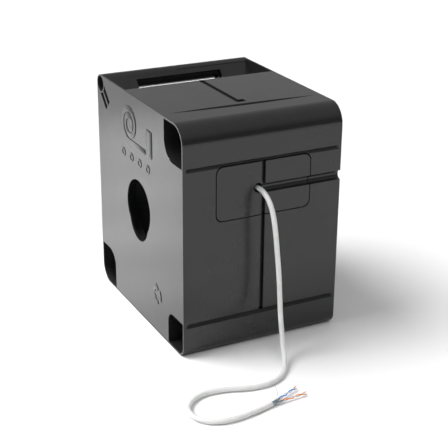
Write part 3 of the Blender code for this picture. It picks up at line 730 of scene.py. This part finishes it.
def drawn_metal(name, colour, shade, roughness):
    """Bare drawn or plated metal with fine streaks and a little tarnish."""
    nodes = Nodes(name)
    nodes.colour(nodes.between(nodes.noise(0.002, 4.0), 0, 1), colour, shade)
    streaks = nodes.noise(0.0004, 2.0, stretch=(6, 1, 1))
    gloss = nodes.between(streaks, roughness - 0.08, roughness + 0.08)
    nodes.join(gloss, nodes.shader.inputs["Roughness"])
    nodes.bump([(streaks, 0.00002)])
    nodes.set(Metallic=1.0)
    return nodes.material


def studio_floor(name):
    nodes = Nodes(name)
    nodes.colour(nodes.noise(0.4, 2.0), (0.86, 0.86, 0.86), (0.88, 0.88, 0.88))
    nodes.bump([(nodes.noise(0.002, 2.0), 0.00002)])
    nodes.set(Roughness=0.85)
    nodes.shader.inputs["Specular IOR Level"].default_value = 0.1
    return nodes.material


looks = {
    "box_plastic": moulded_plastic("black_box_plastic", (0.0145, 0.0145, 0.015), 0.20, 0.0007, 0.000012),
    "spool_plastic": moulded_plastic("grey_spool_plastic", (0.040, 0.040, 0.043), 0.42, 0.0009, 0.00003),
    "bush_plastic": moulded_plastic("white_bush_plastic", (0.60, 0.60, 0.57), 0.38, 0.0008, 0.00001),
    "screw_steel": drawn_metal("zinc_plated_steel", (0.62, 0.62, 0.64), (0.48, 0.49, 0.52), 0.35),
    "cable_jacket": cable_jacket("white_cable_jacket"),
    "screen_foil": crinkled_foil("blue_grey_foil"),
    "blue_wire": wire_insulation("blue_insulation", (0.07, 0.33, 0.80), (0.05, 0.26, 0.68)),
    "orange_wire": wire_insulation("orange_insulation", (0.90, 0.30, 0.055), (0.78, 0.23, 0.04)),
    "white_wire": wire_insulation("white_insulation", (0.66, 0.66, 0.66), (0.60, 0.61, 0.62)),
    "bare_copper": drawn_metal("bare_copper", (0.86, 0.36, 0.22), (0.70, 0.26, 0.15), 0.32),
    "tinned_wire": drawn_metal("tinned_wire", (0.78, 0.78, 0.80), (0.62, 0.62, 0.65), 0.28),
}


# ---- The half shells -----------------------------------------------------------------------


def long_groove(name, height, half):
    """A V-shaped groove with pointed ends across the front face."""
    low = (-GROOVE_HALF_LENGTH, FRONT_Y - GROOVE_DEPTH, height - half)
    high = (GROOVE_HALF_LENGTH, FRONT_Y + GROOVE_DEPTH, height + half)
    groove = block(name, low, high)
    for vertex in groove.data.vertices:
        grow = SLIVER - half if vertex.co.y > FRONT_Y else half
        vertex.co.z += grow if vertex.co.z > height else -grow
        vertex.co.x += grow if vertex.co.x > 0 else -grow
    return groove


def seam_groove_front():
    return block(
        "cut_seam_groove_front",
        (SEAM_GROOVE_X - SEAM_GROOVE_HALF, FRONT_Y - PAST, SEAM_GROOVE_LOW),
        (SEAM_GROOVE_X + SEAM_GROOVE_HALF, FRONT_Y + SEAM_GROOVE_DEPTH, SEAM_GROOVE_HIGH),
    )


def cable_channel():
    """The half-round channel from the outlet to the box's right edge."""
    outline = circle((FRONT_Y, CHANNEL_Z), CHANNEL_R, 48)
    return along_x("cut_channel", [outline], OUTLET_X, HALF_WIDTH + PAST)


def shared_cutters():
    """Everything that is cut from both half shells."""
    far = HALF_WIDTH + PAST
    cheek_x = HALF_WIDTH - CHEEK
    through = {
        "cut_top_front_channel": top_front_channel(),
        "cut_bottom_front_channel": bottom_front_channel(),
        "cut_bottom_rear_channel": bottom_rear_channel(),
        "cut_handle_bore": circle((HANDLE_Y, HANDLE_Z), HANDLE_BORE_R, 64),
        "cut_slab_slot_upper": slab_slot(1),
        "cut_slab_slot_lower": slab_slot(-1),
        "cut_keyhole": keyhole(),
    }
    cutters = [along_x(name, [outline], -far, far) for name, outline in through.items()]
    cutters.append(along_x("cut_rim", [chamber(RIM)], -2 * RIM_HALF, 2 * RIM_HALF))
    cutters.append(along_x("cut_handle_recess", [handle_recess()], -cheek_x, cheek_x))
    cutters.append(along_x("cut_rear_recess", [rear_recess()], -cheek_x, cheek_x))
    cutters.append(along_x("cut_grip", [grip_opening()], -GRIP_HALF, GRIP_HALF))
    cutters.append(long_groove("cut_upper_groove", UPPER_GROOVE_Z, UPPER_GROOVE_HALF))
    cutters.append(long_groove("cut_lower_groove", LOWER_GROOVE_Z, LOWER_GROOVE_HALF))
    cutters.append(lens_cutter(
        "cut_crease", (0, CREASE_Y), CREASE_HALF_LENGTH, CREASE_HALF_WIDTH, CREASE_DEPTH, CREASE_TILT
    ))
    cutters.append(seam_groove_front())
    groove_low = HEIGHT - TOP_GROOVE_DEPTH
    cutters.append(block(
        "cut_seam_groove_top",
        (TOP_GROOVE_X - TOP_GROOVE_HALF, TOP_GROOVE_FRONT_Y, groove_low),
        (TOP_GROOVE_X + TOP_GROOVE_HALF, PANEL_END_Y - TOP_GROOVE_LIP, HEIGHT + PAST),
    ))
    cutters.append(block(
        "cut_seam_groove_hook",
        (0, TOP_GROOVE_FRONT_Y, groove_low),
        (HOOK_LENGTH, TOP_GROOVE_FRONT_Y + HOOK_DEPTH_Y, HEIGHT + PAST),
    ))
    opening = hatch_outline(HATCH_GAP)
    cutters.append(along_y("cut_hatch", [opening], FRONT_Y - PAST, PAD_Y + 0.004))
    return cutters


def make_shell(side, shared):
    """One half of the box. The side is -1 for the left half and +1 for the right."""
    name = "left_half_shell" if side < 0 else "right_half_shell"
    faces = sorted((side * SEAM_HAIR, side * HALF_WIDTH))
    shell = along_x(name, [outer_outline()], *faces)
    plate_x = side * (HALF_WIDTH - PLATE)
    hollow = along_x("cut_chamber", [chamber(0)], *sorted((plate_x, side * RIM_HALF)))
    journal_x = side * (HALF_WIDTH - PLATE - JOURNAL_LENGTH)
    root_x = side * (HALF_WIDTH - PLATE / 2)
    centre = (0, SPOOL_Z)
    rings = [circle(centre, JOURNAL_R, 96), circle(centre, JOURNAL_IN_R, 96)]
    journal = along_x("add_journal", rings, *sorted((journal_x, root_x)))
    boolean(shell, [hollow])
    boolean(shell, [journal], "UNION")
    own = [cable_channel()] if side > 0 else []
    boolean(shell, shared + own)
    shell = softened(shell, SOFT_EDGE)
    discard([hollow, journal, *own])
    dress(shell, looks["box_plastic"])
    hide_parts("shell_left" if side < 0 else "shell_right")
    return shell


def make_hatch():
    """The snap-in plate round the outlet, thicker behind the cable channel and the seam groove."""
    hatch = along_y("outlet_plate", [hatch_outline(0)], FRONT_Y, PAD_Y)
    half = HATCH_HALF - HATCH_FRAME
    behind = PAD_Y + PAST
    front = FRONT_Y + HATCH_PLATE
    rib = SEAM_GROOVE_HALF + HATCH_RIB
    outlet = along_y("cut_outlet", [circle((OUTLET_X, OUTLET_Z), OUTLET_R, 56)], FRONT_Y - PAST, behind)
    cutters = [seam_groove_front(), cable_channel(), outlet]
    for low, high in (
        (CHANNEL_Z + PAD_HALF, HATCH_HIGH - HATCH_FRAME),
        (HATCH_LOW + HATCH_FRAME, CHANNEL_Z - PAD_HALF),
    ):
        for start, end in ((-half, SEAM_GROOVE_X - rib), (SEAM_GROOVE_X + rib, half)):
            cutters.append(block("cut_hollow", (start, front, low), (end, behind, high)))
    boolean(hatch, cutters)
    hatch = softened(hatch, PLATE_EDGE)
    discard(cutters)
    dress(hatch, looks["box_plastic"])
    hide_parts("outlet_hatch")


def make_shells():
    shared = shared_cutters()
    for side in (-1, 1):
        make_shell(side, shared)
    discard(shared)


# ---- Raised marks on the left side ---------------------------------------------------------

MARK_HEIGHT = 0.0007


def stroke_outline(path, half):
    """The outline of a stroke with round ends along a path of (a, b) points."""
    path = [Vector(point) for point in path]
    left = []
    right = []
    for index, here in enumerate(path):
        ahead = path[min(index + 1, len(path) - 1)] - path[max(index - 1, 0)]
        across = Vector((-ahead.y, ahead.x)).normalized() * half
        left.append(here + across)
        right.append(here - across)
    outline = list(right)
    for here, start in ((path[-1], right[-1] - path[-1]), (path[0], left[0] - path[0])):
        base = math.atan2(start.y, start.x)
        for step in range(1, 12):
            angle = base + math.pi * step / 12
            outline.append(here + half * Vector((math.cos(angle), math.sin(angle))))
        if here is path[-1]:
            outline.extend(reversed(left))
    return [tuple(point) for point in outline]


def raised_mark(name, outlines):
    """A flat raised mark on the left side plate, from outlines in (y, z)."""
    face = -HALF_WIDTH
    mark = along_x(name, outlines, face - MARK_HEIGHT, face + MARK_HEIGHT, 0.0003)
    smooth(mark, 40)
    dress(mark, looks["box_plastic"])


def mark_coil():
    """A coil of cable whose end leads to a plug beside it."""
    centre_y, centre_z = (0.028, 0.3035)
    outer_r = 0.0275
    inner_r = 0.0085
    turns = 1.9
    half_stroke = 0.0042
    lead_end_y = -0.026
    lead_z = centre_z - outer_r
    spiral = []
    for step in range(91):
        share = step / 90
        angle = math.radians(-90 + 360 * turns * share)
        radius = outer_r - (outer_r - inner_r) * share
        spiral.append((centre_y + radius * math.cos(angle), centre_z + radius * math.sin(angle)))
    lead = [(lead_end_y + (centre_y - lead_end_y) * step / 6, lead_z) for step in range(7)]
    raised_mark("side_mark_coil", [stroke_outline(lead + spiral[1:], half_stroke)])
    near_y = lead_end_y - 0.0075
    far_y = lead_end_y - 0.028
    low = lead_z - 0.004
    high = centre_z + 0.010
    corner = 0.003
    plug = rounded([
        (far_y, low, corner),
        (near_y, low, corner),
        (near_y, high, corner),
        (far_y, high, corner),
    ])
    raised_mark("side_mark_plug", [plug])


def mark_rings():
    """Four small rings in a row below the coil."""
    first_y, height = (-0.038, 0.2525)
    apart = 0.0305
    for index in range(4):
        centre = (first_y + apart * index, height)
        ring = [circle(centre, 0.0068, 32), circle(centre, 0.0040, 32)]
        raised_mark(f"side_mark_ring_{index + 1}", ring)


def mark_arrows():
    """Three arrows that chase each other round a circle."""
    centre = Vector((-0.0655, 0.063))
    inner_r = 0.0084
    outer_r = 0.0146
    middle_r = 0.0115
    head_in_r = 0.0052
    head_out_r = 0.0180
    shaft = 62
    tip_at = 100
    for index in range(3):
        turn = 120 * index + 15
        inner = arc(centre, inner_r, turn, turn + shaft, 10)
        outer = arc(centre, outer_r, turn + shaft, turn, 10)
        tip = arc(centre, middle_r, turn + tip_at, turn + tip_at, 1)[0]
        near = arc(centre, head_in_r, turn + shaft, turn + shaft, 1)[0]
        far = arc(centre, head_out_r, turn + shaft, turn + shaft, 1)[0]
        raised_mark(f"recycling_arrow_{index + 1}", [inner + [near, tip, far] + outer])


def make_side_marks():
    mark_coil()
    mark_rings()
    mark_arrows()


# ---- The spool inside ----------------------------------------------------------------------


def make_winding():
    """The wound cable: turns lying side by side, each shifted by one diameter per turn of the spool."""
    around = 96
    per_turn = 6
    inner_x = FLANGE_OUTER_X - FLANGE_THICK - 2 * GAP
    turns = int(2 * inner_x / (2 * CABLE_R))
    pitch = 2 * inner_x / turns
    columns = turns * per_turn
    crown = WINDING_R - CABLE_R
    bore = CORE_R + 2 * GAP
    shape = bmesh.new()
    rings = []
    for spot in range(around):
        angle = 2 * math.pi * spot / around
        direction = Vector((0, math.cos(angle), math.sin(angle)))
        ring = []
        for column in range(columns + 1):
            x = -inner_x + 2 * inner_x * column / columns
            along = (x + inner_x) / pitch + spot / around
            offset = (along - math.floor(along) - 0.5) * pitch
            radius = crown + math.sqrt(max(CABLE_R**2 - offset**2, 0))
            ring.append(shape.verts.new(Vector((x, 0, SPOOL_Z)) + direction * radius))
        ring.append(shape.verts.new(Vector((inner_x, 0, SPOOL_Z)) + direction * bore))
        ring.append(shape.verts.new(Vector((-inner_x, 0, SPOOL_Z)) + direction * bore))
        rings.append(ring)
    for first, second in zip(rings, rings[1:] + rings[:1]):
        bridge(shape, first, second)
    bmesh.ops.recalc_face_normals(shape, faces=shape.faces)
    winding = mesh_object("wound_cable", shape)
    smooth(winding, 60)
    dress(winding, looks["cable_jacket"], "spool")
    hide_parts("cable_winding")


def dress_cad_nodes():
    """The CAD nodes that stay get their slot's material and, where it shows, rounded edges."""
    slots = {part["node"]: part["material_slot"] for part in frame["record"]["subparts"]}
    for name, obj in frame["nodes"].items():
        obj.data.materials.clear()
        obj.data.materials.append(looks[slots[name]])
    for name in ("spool_core", "spool_flange_left", "spool_flange_right", "bush_left", "bush_right"):
        bevel = frame["nodes"][name].modifiers.new("edges", "BEVEL")
        bevel.width = SPOOL_EDGE
        bevel.segments = 2
        bevel.limit_method = "ANGLE"
        bevel.angle_limit = math.radians(40)


# ---- The cable -----------------------------------------------------------------------------

# The free cable's route, from the outlet down to the floor and round to its stripped end.
TAIL_ROUTE = [
    (CABLE_OUT_X, FRONT_Y + 0.004, CABLE_OUT_Z),
    (CABLE_OUT_X, FRONT_Y - 0.006, CABLE_OUT_Z - 0.0002),
    (-0.0068, FRONT_Y - 0.016, CABLE_OUT_Z - 0.003),
    (-0.0063, FRONT_Y - 0.026, 0.2347),
    (-0.0055, FRONT_Y - 0.034, 0.2240),
    (-0.0045, FRONT_Y - 0.0395, 0.2080),
    (-0.0030, FRONT_Y - 0.0430, 0.1850),
    (-0.0010, FRONT_Y - 0.0455, 0.1550),
    (0.0010, FRONT_Y - 0.0475, 0.1250),
    (0.0020, FRONT_Y - 0.0495, 0.0950),
    (0.0020, FRONT_Y - 0.0530, 0.0680),
    (0.0015, FRONT_Y - 0.0590, 0.0430),
    (-0.0010, FRONT_Y - 0.0690, 0.0220),
    (-0.0070, FRONT_Y - 0.0840, 0.0090),
    (-0.0180, FRONT_Y - 0.1010, CABLE_REST + 0.0006),
    (-0.0350, FRONT_Y - 0.1150, CABLE_REST),
    (-0.0580, FRONT_Y - 0.1220, CABLE_REST),
    (-0.0850, FRONT_Y - 0.1190, CABLE_REST),
    (-0.1150, FRONT_Y - 0.1090, CABLE_REST),
    (-0.1440, FRONT_Y - 0.1060, CABLE_REST),
    (-0.1690, FRONT_Y - 0.1160, CABLE_REST),
    (-0.1830, FRONT_Y - 0.1360, CABLE_REST),
    (-0.1810, FRONT_Y - 0.1590, CABLE_REST),
    (-0.1640, FRONT_Y - 0.1760, CABLE_REST),
    (-0.1380, FRONT_Y - 0.1810, CABLE_REST),
    (-0.1060, FRONT_Y - 0.1770, CABLE_REST),
    (-0.0760, FRONT_Y - 0.1700, CABLE_REST),
]
# The lead inside the box, from the winding to the outlet.
LEAD_ROUTE = [
    (-0.030, -0.0050, SPOOL_Z + 0.1290),
    (-0.026, -0.0380, SPOOL_Z + 0.1232),
    (-0.020, -0.0700, SPOOL_Z + 0.1080),
    (-0.014, -0.0980, SPOOL_Z + 0.0900),
    (-0.0095, -0.1220, SPOOL_Z + 0.0728),
    (-0.0075, -0.1400, CABLE_OUT_Z + 0.0006),
    (CABLE_OUT_X, FRONT_Y + 0.004 + GAP, CABLE_OUT_Z),
]


def crinkled_tube(name, start, heading, length, radius, seed, flatten=1.0):
    """A foil wrap: a thin tube with overlapping wraps, creases and a torn far edge."""
    dice = random.Random(seed)
    around = 48
    rows = 26
    side = Vector((0, 0, 1)).cross(heading).normalized()
    up = heading.cross(side)
    waves = [(dice.uniform(2, 9), dice.uniform(2, 7), dice.uniform(0, 6.3)) for _ in range(7)]
    tear = [dice.uniform(-0.06, 0.05) for _ in range(around)]
    shape = bmesh.new()
    rings = []
    for row in range(rows + 1):
        share = row / rows
        ring = []
        for spot in range(around):
            angle = 2 * math.pi * spot / around
            ripples = [math.sin(round(a) * angle + b * 3 * share + c) for a, b, c in waves]
            crease = sum(ripples) / len(ripples)
            wrap = ((2.5 * share - spot / around) % 1.0) * 0.05
            swell = radius * (0.93 + 0.05 * crease + wrap - 0.04 * share)
            torn = tear[spot] * max(0.0, share - 0.8) * 5
            along = start + heading * length * (share + torn)
            ring.append(shape.verts.new(
                along + side * swell * math.cos(angle) + up * swell * flatten * math.sin(angle)
            ))
        rings.append(ring)
    for first, second in zip(rings, rings[1:]):
        bridge(shape, first, second)
    bmesh.ops.recalc_face_normals(shape, faces=shape.faces)
    foil = mesh_object(name, shape)
    thick = foil.modifiers.new("thickness", "SOLIDIFY")
    thick.thickness = 0.00012
    foil = settled(foil)
    smooth(foil, 70)
    return dress(foil, looks["screen_foil"])


def copper_strands(name, root, out, seed):
    """A wire's bare end: fine strands, loosely twisted and splayed."""
    dice = random.Random(seed)
    side = Vector((0, 0, 1)).cross(out).normalized()
    up = out.cross(side)
    strand_r = 0.00026
    parts = []
    for strand in range(5):
        phase = 2 * math.pi * strand / 5
        splay = dice.uniform(0.4, 1.3)
        reach = COPPER_LENGTH * dice.uniform(0.85, 1.15)
        path = []
        for step in range(9):
            share = step / 8
            swing = phase + 1.6 * share
            spread = 0.00034 * (1 + splay * share**1.5)
            aside = side * spread * math.cos(swing) + up * spread * math.sin(swing)
            path.append(root + out * reach * share + aside)
        parts.append(settled(tube(f"{name}_{strand}", path, strand_r, 2)))
    shape = bmesh.new()
    for part in parts:
        shape.from_mesh(part.data)
        bpy.data.objects.remove(part, do_unlink=True)
    strands = mesh_object(name, shape)
    weld(strands)
    smooth(strands, 50)
    return dress(strands, looks["bare_copper"])


def make_pair(pair, start, heading):
    """Two insulated wires twisted round each other, each with a bare tip."""
    side = Vector((0, 0, 1)).cross(heading).normalized()
    up = heading.cross(side)
    offset = WIRE_R + GAP
    steps = 56
    made = []
    for strand, phase in (("", 0), ("_white", math.pi)):
        route = []
        for step in range(steps + 1):
            walked = PAIR_LENGTH * step / steps
            angle = phase + 2 * math.pi * walked / PAIR_PITCH
            swing = side * math.cos(angle) + up * math.sin(angle)
            route.append(start + heading * walked + swing * offset)
        slot = "white_wire" if strand else f"{pair}_wire"
        wire = dress(tube(f"{pair}{strand}_insulation", route, WIRE_R, 4), looks[slot])
        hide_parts(f"wire_{pair}{strand}")
        out = (route[-1] - route[-2]).normalized()
        seed = len(made) + len(pair)
        tip = copper_strands(f"{pair}{strand}_strands", route[-1] - out * GAP, out, seed)
        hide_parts(f"copper_tip_{pair}{strand}")
        made += [wire, tip]
    return made


def make_cable():
    lead_route = smooth_route(LEAD_ROUTE, CABLE_R)
    lead = dress(tube("lead_jacket", lead_route, CABLE_R, 6), looks["cable_jacket"])
    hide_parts("cable_lead")
    route = smooth_route(TAIL_ROUTE, CABLE_R)
    jacket = dress(tube("free_cable_jacket", route, CABLE_R, 6), looks["cable_jacket"])
    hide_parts("cable_tail")
    # The stripped end is laid out from the CAD route's last point and direction.
    cad_route = smooth_route(TAIL_ROUTE, 2.6 * CABLE_R)
    ahead = (cad_route[-1] - cad_route[-2]).normalized()
    across = Vector((0, 0, 1)).cross(ahead)
    end = cad_route[-1] + ahead * GAP
    screen = crinkled_tube("screen_wrap", end - ahead * 0.001, ahead, SCREEN_LENGTH + 0.001, SCREEN_R, 3)
    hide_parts("foil_screen")
    pieces = [screen]
    start = end + ahead * (SCREEN_LENGTH + GAP)
    for pair, side in (("blue", 1), ("orange", -1)):
        centre = start + across * side * PAIR_SPREAD
        heading = (ahead + across * side * PAIR_SPLAY / PAIR_LENGTH).normalized()
        root = centre - heading * 0.004
        length = PAIR_FOIL_LENGTH + 0.004
        wrap = crinkled_tube(f"{pair}_pair_wrap", root, heading, length, PAIR_FOIL_R, 5 + side, 0.9)
        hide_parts(f"pair_foil_{pair}")
        pieces.append(wrap)
        pieces += make_pair(pair, centre + heading * (PAIR_FOIL_LENGTH + GAP), heading)
    for name, side in (("long", 1), ("short", -1)):
        root = start + across * side * (PAIR_SPREAD + PAIR_FOIL_R + DRAIN_R + GAP)
        middle = root + ahead * 0.45 * DRAIN_LENGTH + across * side * 0.25 * DRAIN_LENGTH
        tip = root + ahead * 0.75 * DRAIN_LENGTH + across * side * 0.75 * DRAIN_LENGTH
        lift = Vector((0, 0, DRAIN_LIFT * DRAIN_LENGTH if side > 0 else 0))
        path = smooth_route([root - ahead * 0.006, root, middle + lift * 0.4, tip + lift], 0.001)
        drain = dress(tube(f"{name}_drain", path, DRAIN_R, 3), looks["tinned_wire"])
        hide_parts(f"drain_wire_{name}")
        pieces.append(drain)



# ---- Studio --------------------------------------------------------------------------------

CAMERA_PLACE = (-0.7411, -1.4822, 0.8202)
CAMERA_YAW = 27.10
CAMERA_PITCH = 22.61
CAMERA_ROLL = 0.48
CAMERA_LENS = 92.06

FLOOR_HALF = 15
FLOOR_DROP = 0.0002       # keeps the floor from touching the box's base
SKY_TURN = (0.3, 0.85)
BACK_GLOW = 0.42
TOP_GLOW = 0.40
DARK_DEPTH = 0.85
POOL_LAMP_HEIGHT = 1.6
POOL_LAMP_SHIFT = 0.1
POOL_CONE = 17
# Places on the floor that the left side mirrors to the camera, each with its lamp's power.
FLOOR_POOLS = (
    (-0.17, -0.02, 36),
    (-0.24, 0.19, 74),
    (-0.34, 0.38, 92),
    (-0.43, 0.58, 108),
    (-0.53, 0.80, 140),
)


def make_camera():
    yaw, pitch, roll = (math.radians(a) for a in (CAMERA_YAW, CAMERA_PITCH, CAMERA_ROLL))
    ahead = Vector((math.sin(yaw), math.cos(yaw), 0))
    forward = ahead * math.cos(pitch) - Vector((0, 0, math.sin(pitch)))
    level = Vector((math.cos(yaw), -math.sin(yaw), 0))
    upright = level.cross(forward)
    right = level * math.cos(roll) + upright * math.sin(roll)
    up = upright * math.cos(roll) - level * math.sin(roll)
    data = bpy.data.cameras.new("camera")
    data.lens = CAMERA_LENS
    data.clip_start = 0.01
    data.clip_end = 100
    camera = link("camera", data)
    matrix = Matrix((right, up, -forward)).transposed().to_4x4()
    matrix.translation = CAMERA_PLACE
    camera.matrix_world = matrix
    bpy.context.scene.camera = camera


def aimed_light(name, data, place, target):
    light = link(name, data)
    light.location = place
    light.rotation_mode = "QUATERNION"
    light.rotation_quaternion = (Vector(target) - Vector(place)).to_track_quat("-Z", "Y")


def area_light(name, place, target, size, power):
    data = bpy.data.lights.new(name, "AREA")
    data.shape = "RECTANGLE"
    data.size, data.size_y = size
    data.energy = power
    aimed_light(name, data, place, target)


def sun_light(name, towards, spread, strength):
    """A distant light, seen in the given direction and spread degrees wide."""
    data = bpy.data.lights.new(name, "SUN")
    data.angle = math.radians(spread)
    data.energy = strength
    light = link(name, data)
    light.rotation_mode = "QUATERNION"
    light.rotation_quaternion = (-Vector(towards)).to_track_quat("-Z", "Y")


def spot_light(name, place, target, cone, power):
    """A spot with a soft edge, cone degrees wide."""
    data = bpy.data.lights.new(name, "SPOT")
    data.spot_size = math.radians(cone)
    data.spot_blend = 1.0
    data.shadow_soft_size = 0.05
    data.energy = power
    aimed_light(name, data, place, target)


def make_floor():
    shape = bmesh.new()
    bmesh.ops.create_grid(shape, x_segments=8, y_segments=8, size=FLOOR_HALF)
    floor = mesh_object("floor", shape)
    floor.location.z = -FLOOR_DROP
    floor.data.materials.append(studio_floor("studio_floor"))


def make_world():
    """A pale room: bright at the back, softer overhead and dark behind the photographer."""
    world = bpy.data.worlds.new("studio")
    bpy.context.scene.world = world
    world.use_nodes = True
    tree = world.node_tree
    background = tree.nodes["Background"]
    direction = tree.nodes.new("ShaderNodeTexCoord")
    parts = tree.nodes.new("ShaderNodeSeparateXYZ")
    tree.links.new(direction.outputs["Generated"], parts.inputs["Vector"])

    def ranged(output, start, end, low, high):
        node = tree.nodes.new("ShaderNodeMapRange")
        node.interpolation_type = "SMOOTHSTEP"
        for name, value in (("From Min", start), ("From Max", end), ("To Min", low), ("To Max", high)):
            node.inputs[name].default_value = value
        tree.links.new(output, node.inputs["Value"])
        return node.outputs["Result"]

    def product(first, second):
        node = tree.nodes.new("ShaderNodeMath")
        node.operation = "MULTIPLY"
        tree.links.new(first, node.inputs[0])
        tree.links.new(second, node.inputs[1])
        return node.outputs["Value"]

    sky = ranged(parts.outputs["Z"], SKY_TURN[0], SKY_TURN[1], BACK_GLOW, TOP_GLOW)
    behind = ranged(parts.outputs["Y"], -0.9, -0.3, 1.0, 0.0)
    lower = ranged(parts.outputs["Z"], 0.25, 0.75, 1.0, 0.0)
    shade = product(behind, lower)
    kept = tree.nodes.new("ShaderNodeMath")
    kept.operation = "MULTIPLY_ADD"
    tree.links.new(shade, kept.inputs[0])
    kept.inputs[1].default_value = -DARK_DEPTH
    kept.inputs[2].default_value = 1.0
    tree.links.new(product(sky, kept.outputs["Value"]), background.inputs["Strength"])
    background.inputs["Color"].default_value = (1, 1, 1, 1)


def make_studio():
    make_camera()
    make_floor()
    make_world()
    sun_light("key_sun", towards=(-0.62, 0.30, 1.0), spread=34, strength=3.0)
    for x, y, power in FLOOR_POOLS:
        lamp = (x - POOL_LAMP_SHIFT, y + POOL_LAMP_SHIFT, POOL_LAMP_HEIGHT)
        spot_light("floor_pool", lamp, target=(x, y, 0), cone=POOL_CONE, power=power)
    area_light("front_fill", (-0.4, -2.2, 2.6), target=(0, -0.3, 0), size=(1.0, 1.0), power=18)
    bpy.context.scene.view_settings.view_transform = "Standard"


dress_cad_nodes()
make_studio()
make_cable()
make_shells()
make_hatch()
make_side_marks()
make_winding()
